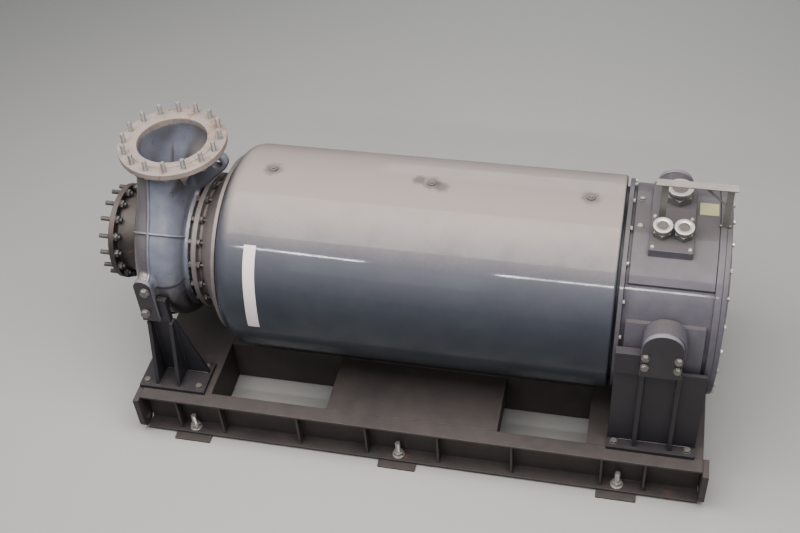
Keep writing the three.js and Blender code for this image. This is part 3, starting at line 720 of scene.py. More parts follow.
def keep(names, material, width):
    """CAD nodes that stay shown are painted, and their edges that turn by over 32 degrees are rounded.

    Their loose triangles are joined first.
    """
    for name in names:
        node = frame["nodes"][name]
        for place in node.material_slots:
            place.material = material
        joined = node.modifiers.new("joined", "WELD")
        joined.merge_threshold = 0.00002
        edge = node.modifiers.new("rounded_edges", "BEVEL")
        edge.width = width
        edge.segments = 2
        edge.limit_method = "ANGLE"
        edge.angle_limit = math.radians(32)
        edge.use_clamp_overlap = True
        edge.harden_normals = True


def both_sides(*names):
    """The names of the CAD nodes in front and at the rear."""
    return [f"{name}_{side}" for name in names for side, _ in SIDES]


class PumpOperator(bpy.types.Operator):
    """What the operators of this file share."""

    bl_options = {"REGISTER", "UNDO"}

    def finish(self):
        self.report({"INFO"}, f"{self.bl_label} built")
        return {"FINISHED"}


# Base frame, anchors and supports


GUSSETS = (-0.291, -0.049, 0.375, 0.741, 1.120, 1.500, 1.950, 2.163)
GUSSET_HALF, RIB_HALF = 0.0075, 0.010
GUSSET_BEAD, PLATE_BEAD, RIB_BEAD = 0.009, 0.006, 0.010


class PUMPSET_OT_base_frame(PumpOperator):
    """Paint the base frame and lay its weld beads"""

    bl_idname = "pumpset.base_frame"
    bl_label = "Base Frame"

    def execute(self, context):
        paint = finishes().frame()
        sided = both_sides("longeron", "middle_plate", "corner_lug_suction", "corner_lug_motor")
        keep(sided + ["suction_cross_beam", "motor_cross_beam", "spine_beam"], paint, 0.003)
        low, high = pump_box("longeron_front")
        web, tip, flange = -0.582, -0.640, 0.014
        floor, top = low[2] + flange, high[2] - flange
        deck = top + flange
        welds = []
        for x in GUSSETS:
            for face in (x - GUSSET_HALF, x + GUSSET_HALF):
                welds.append(bead((face, web, floor), (face, web, top), GUSSET_BEAD))
                welds.append(bead((face, web, floor), (face, tip, floor), GUSSET_BEAD))
        for beam in ("suction_cross_beam", "motor_cross_beam"):
            start, end = pump_box(beam)
            welds.append(bead((start[0], start[1], deck), (end[0], start[1], deck), PLATE_BEAD))
            across = end[0] if beam.startswith("suction") else start[0]
            welds.append(bead((across, -0.215, deck), (across, 0.0, deck), PLATE_BEAD))
        start, end = pump_box("middle_plate_front")
        for y in (start[1], end[1]):
            welds.append(bead((start[0], y, end[2]), (end[0], y, end[2]), PLATE_BEAD))
        half = merged(*welds)
        show("frame_welds", merged(half, mirrored(half)), paint)
        return self.finish()


class PUMPSET_OT_anchors(PumpOperator):
    """Build the anchor plates with their threaded studs, washers and nuts"""

    bl_idname = "pumpset.anchors"
    bl_label = "Anchors"

    def execute(self, context):
        line, thick, sunk, seat = 0.618, 0.010, 0.008, FLOOR + 0.0243
        ring_thick, nut_high = 0.006, 0.024
        for number in (1, 2, 3):
            for side, sign in SIDES:
                name = f"anchor_{number}_{side}"
                low, high = pump_box(name)
                x, y = (low[0] + high[0]) / 2, sign * line
                corners = [(low[0], low[1]), (high[0], low[1]), (high[0], high[1]), (low[0], high[1])]
                foot = plate(rounded(corners, 0.006, 3, loop=True), FLOOR, FLOOR + thick, "xy", 0.0015)
                ring = repeated(washer(0.033, ring_thick), [(x, y, seat)], UP)
                nut = repeated(hexagon(0.046, nut_high), [(x, y, seat + ring_thick)], UP, number)
                rod = thread(0.015, 0.0, high[2] - FLOOR - sunk, 0.0035)
                rod = repeated(rod, [(x, y, FLOOR + sunk)], UP)
                show(f"{name}_bolt", merged(ring, nut, rod), finishes().zinc(), (name,))
                show(f"{name}_foot", foot, finishes().frame())
        return self.finish()


class PUMPSET_OT_supports(PumpOperator):
    """Paint the casing legs and motor pedestals, weld them and bolt them down"""

    bl_idname = "pumpset.supports"
    bl_label = "Supports"

    def execute(self, context):
        paint = finishes().support()
        keep(both_sides("casing_leg", "motor_pedestal"), paint, 0.0025)
        welds, places = [], []
        for node, ribs, foot, back, top in (
                ("casing_leg_front", (-0.400, -0.282), -0.572, -0.454, -0.172),
                ("motor_pedestal_front", (2.093, 2.263), -0.572, -0.535, -0.036)):
            low, high = pump_box(node)
            deck = low[2] + 0.020
            for x in ribs:
                for face in (x - RIB_HALF, x + RIB_HALF):
                    welds.append(bead((face, foot, deck), (face, back, deck), RIB_BEAD))
                    welds.append(bead((face, back, deck), (face, back, top), RIB_BEAD))
            welds.append(bead((low[0] + 0.05, back, deck), (high[0] - 0.02, back, deck), RIB_BEAD))
            for x in (low[0] + 0.036, high[0] - 0.036):
                places += [(x, low[1] + 0.034, deck), (x, -0.415, deck)]
        half = merged(*welds)
        show("support_welds", merged(half, mirrored(half)), paint)
        places = np.array(places)
        both = np.concatenate([places, places * [1, -1, 1]])
        show("support_bolts", repeated(bolt(0.030), both, UP), finishes().nut())
        return self.finish()


def arch(low, high):
    """An upright plate's outline with a half-round top: a half circle over two straight sides."""
    radius = (high[0] - low[0]) / 2
    middle = (high[0] + low[0]) / 2
    angle = np.linspace(0, np.pi, 24)
    crown = np.stack([middle + radius * np.cos(angle), high[2] - radius + radius * np.sin(angle)], -1)
    return np.concatenate([[(low[0], low[2]), (high[0], low[2])], crown])


class PUMPSET_OT_clamp_plates(PumpOperator):
    """Build the round-topped clamp plates that tie the casing and the head to their supports"""

    bl_idname = "pumpset.clamp_plates"
    bl_label = "Clamp Plates"

    def execute(self, context):
        casing_rows = ((0.013, 0.061), (-0.016, -0.092))
        head_rows = ((-0.073, 0.116), (0.074, 0.116), (-0.073, 0.052), (0.074, 0.052))
        for node, across, rows in (("casing_clamp_plate", 0.040, casing_rows),
                                   ("head_clamp_plate", 0.030, head_rows)):
            for side, sign in SIDES:
                name = f"{node}_{side}"
                low, high = pump_box(name)
                body = plate(arch(low, high), low[1], high[1], "xz", 0.004)
                show(f"{name}_body", body, finishes().clamp(), (name,))
                middle = (low[0] + high[0]) / 2
                face = low[1] if sign < 0 else high[1]
                places = [(middle + x, face, z) for x, z in rows]
                heads = repeated(bolt(across), places, (0.0, sign, 0.0))
                show(f"{name}_bolts", heads, finishes().steel())
        return self.finish()


# Pump end


def smooth(share):
    """The smooth step of a share, held between 0 and 1."""
    share = np.clip(share, 0, 1)
    return share * share * (3 - 2 * share)


def blend(first, second, width):
    """The lower of two fields, rounded where they are closer than the width."""
    near = np.maximum(width - np.abs(first - second), 0)
    return np.minimum(first, second) - near * near / (4 * width)


def drum(x, radius, reach, half, edge):
    """A field below zero inside a drum about the shaft, with its reach as its radius and rounded rims."""
    out, side = radius - reach + edge, np.abs(x) - half + edge
    return np.hypot(np.maximum(out, 0), np.maximum(side, 0)) + np.minimum(np.maximum(out, side), 0) - edge


def spiral_reach(angle, sizes):
    """The spiral's radius: it grows with the angle run back from the tongue, then falls back to it."""
    share = ((sizes.tongue_angle - angle) % (2 * np.pi)) / sizes.sweep
    full = 2 * np.pi / sizes.sweep
    share = np.minimum(share, (full - share) / (full - 1))
    return sizes.tongue + (sizes.mouth - sizes.tongue) * share


NECK_FOOT, NECK_X = -0.332, -0.277
NECK_LOW, NECK_FLARE, NECK_HIGH = 0.060, 0.452, 0.622
CASING_MIDDLE, CASING_HALF = -0.3325, 0.1175
RIDGE_X = -0.352
RIDGE_TILT = math.radians(136.5)


def neck_oval(p, shrink):
    """A field below zero inside the neck, which swings over the shaft and widens to a circle.

    It starts as a squared oval, where |x / a| ** n + |y / b| ** n is 1, and n falls from 3.1 to 2 upwards.
    """
    rise = p[..., 2]
    turn = smooth((rise - NECK_LOW) / (NECK_HIGH - NECK_LOW))
    flare = smooth((rise - NECK_FLARE) / (NECK_HIGH - NECK_FLARE))
    half_x = 0.118 + 0.077 * flare - shrink
    half_y = 0.196 - 0.001 * turn - shrink
    power = 2 / (0.65 + 0.35 * flare)
    away_x = np.abs(p[..., 0] - NECK_FOOT - (NECK_X - NECK_FOOT) * flare) / half_x
    away_y = np.abs(p[..., 1] + 0.228 * (1 - turn)) / half_y
    across = (away_x ** power + away_y ** power) ** (1 / power)
    return (across - 1) * np.minimum(half_x, half_y)


def eye_field(p):
    """A field below zero in the lifting eye: a bar out to a round end with a hole through it."""
    start, end = np.array([-0.235, 0.382]), np.array([-0.060, 0.545])
    flat = p[..., [0, 2]] - start
    along = np.clip(flat @ (end - start) / ((end - start) @ (end - start)), 0, 1)
    bar = np.linalg.norm(flat - along[..., None] * (end - start), axis=-1) - (0.060 - 0.004 * along)
    bar = -blend(-bar, -(np.abs(p[..., 1]) - 0.024), 0.012)
    hole = 0.026 - np.hypot(p[..., 0] - end[0], p[..., 2] - end[1])
    return -blend(-bar, -hole, 0.008)


def lug_field(p):
    """A field below zero in the two cast lugs: upright bars with a half-round top, out to the plates."""
    crown = np.hypot(p[..., 0] + 0.378, np.maximum(p[..., 2] - 0.083, 0)) - 0.043
    profile = -blend(-crown, -(-0.014 - p[..., 2]), 0.008)
    return -blend(-profile, -(np.abs(np.abs(p[..., 1]) - 0.398) - 0.068), 0.010)


def casting_field(p, sizes):
    """A field below zero inside the casting's outer skin.

    The spiral, neck, flange seat, rim, lugs and eye are joined by fillets as wide as the blends.
    """
    x, y, z = p[..., 0], p[..., 1], p[..., 2]
    radius, angle = np.hypot(y, z), np.arctan2(z, y)
    body = drum(x - CASING_MIDDLE, radius, spiral_reach(angle, sizes), CASING_HALF, sizes.edge)
    neck = np.maximum(neck_oval(p, 0.0), np.maximum(z - 0.636, NECK_LOW - z))
    seat = np.maximum(np.hypot(x - NECK_X, y) - 0.262, np.abs(z - 0.630) - 0.010)
    rim = np.maximum(radius - 0.345, np.abs(x + 0.2155) - 0.0305)
    for part, fillet in (
            (neck, 0.040), (seat, 0.030), (rim, 0.014), (lug_field(p), 0.018), (eye_field(p), 0.026)):
        body = blend(body, part, fillet)
    return body


def casing_field(p, sizes):
    """A field below zero in the casing's metal: the casting less the water's way through it."""
    x, y, z = p[..., 0], p[..., 1], p[..., 2]
    radius, angle = np.hypot(y, z), np.arctan2(z, y)
    reach = spiral_reach(angle, sizes) - 0.032
    water = drum(x - CASING_MIDDLE, radius, reach, CASING_HALF - 0.024, 0.6 * sizes.edge)
    bore = np.maximum(neck_oval(p, 0.020), np.maximum(z - 0.680, 0.120 - z))
    eye = np.maximum(radius - 0.175, np.abs(x + 0.43) - 0.04)
    back = np.maximum(radius - 0.300, np.abs(x + 0.2245) - 0.0445)
    way = np.minimum(blend(water, bore, 0.030), np.minimum(eye, back))
    return np.maximum(casting_field(p, sizes), -way)


def settled(origins, rays, field, reach=0.34):
    """Where each ray from inside a field's skin leaves it, found by halving the stretch with the crossing."""
    near, far = np.zeros(len(origins)), np.full(len(origins), reach)
    for _ in range(24):
        middle = (near + far) / 2
        inside = field(origins + middle[:, None] * rays) < 0
        near, far = np.where(inside, middle, near), np.where(inside, far, middle)
    return origins + near[:, None] * rays


def cast_skin(field, low, high, step):
    """The skin where a field passes zero, with one point for each cell of a grid that it crosses.

    A cell's point is the mean of the crossings on its edges. Four cells round each crossed edge
    make a face, and each point then moves down the field's slope until it lies on the skin.
    """
    axes = [np.arange(a, b, step) for a, b in zip(low, high)]
    values = field(np.stack(np.meshgrid(*axes, indexing="ij"), axis=-1))
    shape = values.shape
    cells = tuple(n - 1 for n in shape)
    total, count = np.zeros(cells + (3,)), np.zeros(cells)
    edges = []
    for axis in range(3):
        b, c = (axis + 1) % 3, (axis + 2) % 3
        first = np.take(values, range(shape[axis] - 1), axis)
        second = np.take(values, range(1, shape[axis]), axis)
        crossed = (first < 0) != (second < 0)
        spot = np.stack(np.indices(first.shape), axis=-1).astype(float)
        spot[..., axis] += np.where(crossed, first / np.where(crossed, first - second, 1), 0)
        for shift in ((0, 0), (0, 1), (1, 0), (1, 1)):
            part = [slice(None)] * 3
            part[b] = slice(shift[0], shift[0] + cells[b])
            part[c] = slice(shift[1], shift[1] + cells[c])
            hit = crossed[tuple(part)]
            total += spot[tuple(part)] * hit[..., None]
            count += hit
        edges.append((axis, b, c, crossed, first < 0))
    used = count > 0
    number = np.full(cells, -1)
    number[used] = np.arange(used.sum())
    points = np.asarray(low) + total[used] / count[used][:, None] * step
    faces = []
    for axis, b, c, crossed, inside in edges:
        at = np.argwhere(crossed)
        at = at[(at[:, b] > 0) & (at[:, c] > 0) & (at[:, b] < cells[b]) & (at[:, c] < cells[c])]
        corners = []
        for shift in ((1, 1), (0, 1), (0, 0), (1, 0)):
            cell = at.copy()
            cell[:, b] -= shift[0]
            cell[:, c] -= shift[1]
            corners.append(number[tuple(cell.T)])
        quads = np.stack(corners, axis=-1)
        forward = inside[tuple(at.T)]
        faces.append(np.where(forward[:, None], quads, quads[:, ::-1]))
    for _ in range(3):
        value = field(points)
        slope = np.stack([
            (field(points + shift) - field(points - shift)) / (0.4 * step)
            for shift in np.eye(3) * 0.2 * step], axis=-1)
        move = value[:, None] * slope / np.maximum((slope ** 2).sum(axis=1, keepdims=True), 0.2)
        points -= np.clip(move, -0.4 * step, 0.4 * step)
    return Skin(points, [np.concatenate(faces)])


def carried(profile, path, side, up):
    """A closed profile carried along a path, each of its points laid out on the path's side and up."""
    side, up = np.broadcast_to(side, path.shape), np.broadcast_to(up, path.shape)
    return lattice(path[:, None] + profile[None, :, :1] * side[:, None] + profile[None, :, 1:] * up[:, None])


def half_round(half_width, height):
    """A ridge's section: half an ellipse on a short foot below the surface."""
    sunk = 0.006
    angle = np.linspace(0, np.pi, 9)
    crown = np.stack([half_width * np.cos(angle), height * np.sin(angle)], -1)
    return np.concatenate([crown, [(-half_width, -sunk), (half_width, -sunk)]])


class PUMPSET_OT_spiral_casing(PumpOperator):
    """Build the cast spiral casing with its neck, ridges, discharge flange and lifting eye"""

    bl_idname = "pumpset.spiral_casing"
    bl_label = "Spiral Casing"

    def execute(self, context):
        sizes = context.scene.pump_casing
        low, high = (-0.475, -0.490, -0.440), (0.012, 0.490, 0.662)
        cast = cast_skin(lambda p: casing_field(p, sizes), low, high, sizes.grain)
        body = merged(cast, *self.ridges(sizes))
        show("spiral_casing_body", body, finishes().casting(), ("spiral_casing",), sharp=50)
        self.discharge(context.scene.pump_flanges)
        return self.finish()

    def ridges(self, sizes):
        """The ridge down the neck's rear, round the spiral and up its front, and the one across in front."""
        turn = np.concatenate([
            np.zeros(24), np.linspace(0, math.radians(50), 12), np.linspace(math.radians(46), -np.pi, 130),
            np.full(60, -np.pi)])
        lift = np.concatenate([
            np.linspace(0.600, 0.408, 24), np.linspace(0.400, 0, 12), np.zeros(130),
            np.linspace(0.008, 0.600, 60)])
        origins = np.stack([np.full(len(turn), RIDGE_X), np.zeros(len(turn)), lift], -1)
        rays = np.stack([np.zeros(len(turn)), np.cos(turn), np.sin(turn)], -1)
        upright = self.ridge(origins, rays, sizes, RIGHT, 0.009)
        swing = np.linspace(0.02, np.pi - 0.02, 60)
        radial = np.array([0.0, math.cos(RIDGE_TILT), math.sin(RIDGE_TILT)])
        origins = np.array([CASING_MIDDLE, 0.0, 0.0]) + np.repeat(0.355 * radial[None], 60, axis=0)
        rays = np.cos(swing)[:, None] * LEFT + np.sin(swing)[:, None] * radial
        level = self.ridge(origins, rays, sizes, (0.0, math.sin(RIDGE_TILT), -math.cos(RIDGE_TILT)), 0.007)
        return upright, level

    def ridge(self, origins, rays, sizes, side, half_width):
        """A half-round ridge along the points where the rays leave the casting."""
        path = settled(origins, rays, lambda p: casting_field(p, sizes), 0.5)
        ahead = np.gradient(path, axis=0)
        up = np.cross(side, ahead)
        up /= np.linalg.norm(up, axis=1, keepdims=True)
        up *= np.sign((up * rays).sum(axis=1, keepdims=True))
        return carried(half_round(half_width, sizes.ridge), path, side, up)

    def wedge(self, azimuth):
        """A wedge under the flange that keeps to the neck's wall and grows wider and deeper upwards."""
        foot, top, rows = 0.505, 0.618, 9
        heights = np.linspace(foot, top, rows)
        out = np.array([math.cos(azimuth), math.sin(azimuth), 0.0])
        across = np.array([-math.sin(azimuth), math.cos(azimuth), 0.0])
        origins = np.stack([np.full(rows, NECK_X), np.zeros(rows), heights], -1)
        rim = settled(origins, np.repeat(out[None], rows, axis=0), lambda p: neck_oval(p, 0.0))
        wall = np.linalg.norm(rim - origins, axis=1)
        tip = np.maximum(np.interp(heights, (foot, 0.596), (0.190, 0.256)), wall - 0.004)
        half = 0.006 + 0.012 * smooth((heights - foot) / (top - foot))
        section = [(wall - 0.012, -half), (tip - 0.003, -half), (tip, -half * 0.7), (tip, half * 0.7),
                   (tip - 0.003, half), (wall - 0.012, half)]
        return lattice(np.stack([
            origins + reach[:, None] * out + aside[:, None] * across for reach, aside in section], axis=1))

    def discharge(self, sizes):
        """The flange over the neck, its wedges and its studs."""
        bore, foot, face, lip = sizes.bore, 0.616, 0.648, 0.652
        section = rounded([
            (foot, bore), (foot, 0.270), (face, 0.270), (face, 0.215), (lip, 0.215), (lip, bore),
        ], [0, 0.003, 0.003, 0.001, 0.001, 0.003], 3, loop=True)
        flange = turned(section, 128, True, (NECK_X, 0.0, 0.0), UP)
        wedges = [self.wedge(math.radians(azimuth)) for azimuth in (-121, -59, 59, 121)]
        show("discharge_flange_ring", merged(flange, *wedges), finishes().flange())
        places = on_circle(0.0, sizes.discharge_circle, sizes.studs)[:, [1, 2, 0]] + [NECK_X, 0.0, 0.0]
        studs = stud_set(places, UP, 0.594, 0.703, foot, sizes.stud)
        show("discharge_studs", studs, finishes().steel())


def stud_set(places, along, low, high, seat, radius):
    """Threaded studs through a flange, each with a washer and a nut behind it."""
    along = np.asarray(along)
    rods = repeated(thread(radius, low, high, 0.003), places, along)
    behind = -1.0 if abs(seat - low) < abs(seat - high) else 1.0
    nuts = repeated(bolt(3 * radius), places + seat * along, along * behind)
    return merged(rods, nuts)


class PUMPSET_OT_suction_nozzle(PumpOperator):
    """Build the suction nozzle with its flange, studs and cover bolts"""

    bl_idname = "pumpset.suction_nozzle"
    bl_label = "Suction Nozzle"

    def execute(self, context):
        sizes = context.scene.pump_flanges
        bore, lip, face, seat = sizes.bore, -0.665, -0.661, -0.631
        cover, casting = -0.484, -0.4503
        section = rounded([
            (lip, bore), (lip, 0.214), (face, 0.214), (face, 0.2525), (seat, 0.2525), (seat, 0.207),
            (cover, 0.212), (cover, 0.262), (casting, 0.262), (casting, bore),
        ], [0.003, 0.001, 0.001, 0.003, 0.003, 0.016, 0.018, 0.004, 0.002, 0.002], 5, loop=True)
        body = turned(section, 144, True)
        show("suction_nozzle_body", body, finishes().nozzle(), ("suction_nozzle",))
        places = on_circle(0.0, sizes.suction_circle, sizes.studs)
        studs = stud_set(places, RIGHT, -0.716, -0.600, seat, sizes.stud)
        bolts = repeated(bolt(0.024), on_circle(cover, 0.243, sizes.studs, 0.0), LEFT)
        show("suction_studs", merged(studs, bolts), finishes().nut())
        return self.finish()


class PUMPSET_OT_bearing_bracket(PumpOperator):
    """Paint the impeller, and build the back cover and the bearing bracket with its studs"""

    bl_idname = "pumpset.bearing_bracket"
    bl_label = "Bearing Bracket"

    def execute(self, context):
        paint = finishes().bracket()
        keep(["impeller"], finishes().casting(), 0.002)
        left, rim, right = -0.239, -0.1847, -0.165
        cover = rounded([
            (left, 0.062), (left, 0.300), (rim, 0.300), (rim, 0.318), (right, 0.318), (right, 0.062),
        ], [0, 0.004, 0, 0.002, 0.002, 0], 3, loop=True)
        show("back_cover_body", turned(cover, 144, True), paint, ("back_cover",))
        hub, foot, face, end, back = -0.2247, -0.1647, -0.1387, -0.0203, -0.0003
        section = rounded([
            (hub, 0.012), (hub, 0.050), (foot, 0.058), (foot, 0.355), (face, 0.355), (face, 0.296),
            (end, 0.452), (end, 0.462), (back, 0.462), (back, 0.012),
        ], [0, 0.004, 0, 0.003, 0.003, 0.014, 0.004, 0.003, 0.003, 0], 4)
        show("bearing_bracket_body", turned(section, 144), paint, ("bearing_bracket",))
        circle, count = 0.334, 18
        places = on_circle(0.0, circle, count, 0.0)
        rods = repeated(thread(0.009, -0.188, -0.096, 0.003), places, RIGHT)
        nuts = repeated(bolt(0.032), places + [face, 0.0, 0.0], RIGHT)
        checks = repeated(hexagon(0.030, 0.017), places + [-0.1651, 0.0, 0.0], LEFT)
        show("back_cover_bolts", merged(rods, nuts, checks), finishes().nut())
        return self.finish()


# Motor end


HOOD_RADIUS, BARREL_RADIUS, SHELL_RADIUS, CORE = 0.494, 0.480, 0.500, 0.02


def bare_plate(half_width, radii, path, out):
    """A thin plate on a round surface: a flat section carried along a path with its face outwards."""
    inner, outer = -0.0004, 0.0014
    corners = [(-half_width, inner), (-half_width, outer), (half_width, outer), (half_width, inner)]
    return carried(rounded(corners, radii, 2, loop=True), path, RIGHT, out)


class PUMPSET_OT_cooling_jacket(PumpOperator):
    """Build the motor's cooling jacket with its blank strip and plugs"""

    bl_idname = "pumpset.cooling_jacket"
    bl_label = "Cooling Jacket"

    def execute(self, context):
        sizes = context.scene.pump_motor
        low, high = pump_box("cooling_jacket")
        radius = high[2]
        shell = disc(0.0, high[0], 0.05, radius, (sizes.shoulder, 0.012), 14, 256)
        paint = finishes().jacket()
        show("cooling_jacket_shell", shell, paint, ("cooling_jacket",), sharp=60)
        angle = np.linspace(sizes.strip_from, sizes.strip_to, 48)
        out = np.stack([np.zeros(48), -np.cos(angle), np.sin(angle)], -1)
        lean = 0.0015 * np.sin(angle * 9)
        path = out * radius + np.stack([0.200 + lean, np.zeros(48), np.zeros(48)], -1)
        strip = bare_plate(0.030, [0, 0.0006, 0.0006, 0], path, out)
        show("blank_strip", strip, finishes().strip())
        for number in (1, 2, 3):
            name = f"jacket_plug_{number}"
            start, end = pump_box(name)
            place = [((start[0] + end[0]) / 2, 0.0, radius)]
            collar = repeated(washer(0.020, 0.0065), place, UP)
            cap = repeated(hexagon(0.022, end[2] - radius), place, UP, number)
            show(f"{name}_cap", merged(collar, cap), finishes().nut(), (name,))
        return self.finish()


class PUMPSET_OT_cable_head(PumpOperator):
    """Build the cable head with its flange, hood, lower shell and bolts"""

    bl_idname = "pumpset.cable_head"
    bl_label = "Cable Head"

    def execute(self, context):
        sizes = context.scene.pump_motor
        paint = finishes().head()
        low, high = pump_box("jacket_gap_ring")
        gap = disc(low[0], high[0], CORE, high[2], (0, 0), 1, 128)
        show("gap_ring_body", gap, finishes().support(), ("jacket_gap_ring",))
        low, high = pump_box("head_flange")
        ring = disc(low[0], high[0], CORE, high[2], (0.003, 0.003), 3, 192)
        show("head_flange_ring", ring, paint, ("head_flange",))
        offset = math.radians(14.3) / (2 * np.pi / sizes.flange_bolts)
        places = on_circle(high[0], 0.5005, sizes.flange_bolts, offset) * [1, -1, 1]
        show("head_flange_bolts", repeated(bolt(0.018), places, RIGHT), finishes().zinc())
        self.body(sizes, paint, high[0] + GAP)
        self.fittings()
        return self.finish()

    def body(self, sizes, paint, left):
        """The head itself: barrel, hood, rim, lower shell and the lugs behind the clamp plates."""
        rim_left, right = 2.369, 2.399
        angle = np.arange(720) * np.pi / 360
        height = np.arcsin(np.clip(np.sin(angle), -1, 1))
        rise = smooth((height - sizes.hood_angle) / 0.014)
        radius = BARREL_RADIUS + (HOOD_RADIUS - BARREL_RADIUS) * rise
        outline = np.stack([radius * np.cos(angle), radius * np.sin(angle)], -1)
        hood = plate(outline, 1.984, rim_left, "yz", 0.004)
        barrel = disc(left, rim_left + 0.001, CORE, BARREL_RADIUS, (0.002, 0), 2, 256)
        rim = disc(rim_left, right, CORE, 0.504, (0.004, 0.002), 3, 256)
        ledge = math.asin(0.200 / SHELL_RADIUS)
        angle = np.linspace(np.pi - ledge, 2 * np.pi + ledge, 160)
        shell = plate(SHELL_RADIUS * np.stack([np.cos(angle), np.sin(angle)], -1), 1.990, 2.352, "yz", 0.004)
        lug = plate(arch((2.074, 0, 0.0973), (2.274, 0, 0.262)), -0.560, -0.470, "xz", 0.004)
        head = merged(hood, barrel, rim, shell, lug, mirrored(lug))
        show("connection_head_body", head, paint, ("connection_head",), sharp=40)

    def fittings(self):
        """The hood's two plugs and its blank tag."""
        spots = np.array([(2.010, 0.060), (2.012, -0.115)])
        places = np.stack([spots[:, 0], spots[:, 1], np.sqrt(HOOD_RADIUS ** 2 - spots[:, 1] ** 2)], -1)
        out = places * [0, 1, 1] / HOOD_RADIUS
        show("head_plugs", repeated(bolt(0.022), places, out), finishes().steel())
        angle = np.linspace(-0.012, 0.078, 12) / HOOD_RADIUS
        out = np.stack([np.zeros(12), np.sin(angle), np.cos(angle)], -1)
        tag = bare_plate(0.043, 0.0006, HOOD_RADIUS * out + [2.317, 0, 0], out)
        show("blank_tag", tag, finishes().tag())


class PUMPSET_OT_end_cover(PumpOperator):
    """Build the end cover and its ring of bolts"""

    bl_idname = "pumpset.end_cover"
    bl_label = "End Cover"

    def execute(self, context):
        low, high = pump_box("end_cover")
        face = 2.424
        section = rounded([
            (low[0], CORE), (low[0], 0.500), (face, 0.500), (face, 0.376), (2.440, 0.330), (high[0], 0.270),
            (high[0], CORE),
        ], [0, 0.002, 0.004, 0.014, 0.03, 0.02, 0], 5)
        show("end_cover_body", turned(section, 192), finishes().head(), ("end_cover",))
        places = on_circle(face, 0.484, context.scene.pump_motor.cover_bolts, 0.25)
        show("end_cover_bolts", repeated(bolt(0.019), places, RIGHT), finishes().zinc())
        return self.finish()


ENTRY_TOP, ENTRY_FALL, ENTRY_REACH = 0.512, 0.046, 0.250
ENTRY_TILT = math.atan2(ENTRY_FALL, ENTRY_REACH)


def entry_height(y):
    """The entry block's top: level at the rear, and falling evenly to its front edge."""
    return ENTRY_TOP - ENTRY_FALL * max(0.0, -y / ENTRY_REACH)


def entry_up(tilt):
    """The way up from a face that leans to the front by a tilt."""
    return 0.0, -math.sin(tilt), math.cos(tilt)


class PUMPSET_OT_cable_entry(PumpOperator):
    """Build the cable entry: block, glands and rack"""

    bl_idname = "pumpset.cable_entry"
    bl_label = "Cable Entry"

    def execute(self, context):
        keep(["entry_block"], finishes().head(), 0.004)
        keep(["cable_rack"], finishes().steel(), 0.0012)
        for name, x, y, size, length, bore, tilt in (
                ("cable_gland_left", 2.112, -0.150, 0.046, 0.062, 0.025, ENTRY_TILT),
                ("cable_gland_right", 2.207, -0.150, 0.046, 0.062, 0.025, ENTRY_TILT),
                ("cable_gland_rear", 2.176, 0.064, 0.062, 0.072, 0.036, 0.0)):
            self.gland(name, (x, y, entry_height(y) + GAP), size, length, bore, entry_up(tilt))
        low, high = pump_box("entry_block")
        corners = [(x, y) for x in (low[0] + 0.016, high[0] - 0.016) for y in (-0.232, -0.060, 0.155)]
        places = [(x, y, entry_height(y)) for x, y in corners]
        tips = [entry_up(ENTRY_TILT if y < 0 else 0.0) for x, y in corners]
        show("entry_block_bolts", repeated(bolt(0.013), places, tips), finishes().zinc())
        return self.finish()

    def gland(self, name, foot, size, length, bore, along):
        """A gland: hexagonal body, collar, clamp ring and a rubber seal sunk in the mouth."""
        neck, grip = 0.45 * length, 0.78 * length
        collar = rounded([
            (neck, bore), (neck, 0.86 * size), (grip, 0.80 * size), (grip, bore),
        ], [0, 0.002, 0, 0], 2, loop=True)
        start = 0.76 * length
        clamp = rounded([
            (start, bore), (start, size), (length, size), (length, 0.72 * size), (0.93 * length, bore),
        ], [0, 0.003, 0.004, 0.002, 0], 3, loop=True)
        sunk = 0.5 * length
        seal = rounded([
            (sunk, 0.001), (0.86 * length, 0.001), (0.90 * length, bore * 0.6), (0.88 * length, bore * 1.02),
            (sunk, bore * 1.02),
        ], [0, 0.0, 0.003, 0.002, 0], 3)
        hexagonal = repeated(hexagon(1.697 * size, 0.5 * length), [foot], along)
        body = merged(hexagonal, turned(collar, 48, True, foot, along))
        show(f"{name}_body", body, finishes().steel(), (name,))
        show(f"{name}_clamp", turned(clamp, 48, True, foot, along), finishes().zinc())
        show(f"{name}_seal", turned(seal, 40, False, foot, along), finishes().rubber())


# Stage


WARM, WHITE, COOL = (1.0, 0.975, 0.95), (1.0, 0.99, 0.97), (0.95, 0.97, 1.0)
LIGHTS = (
    ("top_light", (0.0, -0.9, 4.3), (0.0, 0.0, 0.9), (7.0, 3.0), 440, WARM),
    ("rear_fill", (0.6, 5.4, 3.2), (0.0, 0.0, 0.7), (4.0, 2.4), 75, COOL),
    ("left_strip", (-2.17, -5.2, 4.95), (-0.6, -0.4, 1.0), (1.30, 0.18), 52, WHITE),
    ("right_strip", (0.88, -5.2, 4.95), (0.7, -0.4, 1.0), (2.05, 0.18), 80, WHITE),
    ("front_light", (-1.2, -5.6, 3.6), (-0.9, 0.0, 0.9), (2.0, 1.6), 10, (0.90, 0.95, 1.0)),
)
SKY, SKY_STRENGTH = (0.80, 0.84, 0.92, 1.0), 0.36


def aimed(name, data, place, target):
    """Puts a lamp or camera at its place, facing its target."""
    holder = bpy.data.objects.new(name, data)
    holder.location = place
    holder.rotation_mode = "QUATERNION"
    holder.rotation_quaternion = (Vector(target) - Vector(place)).to_track_quat("-Z", "Y")
    bpy.context.scene.collection.objects.link(holder)
    return holder


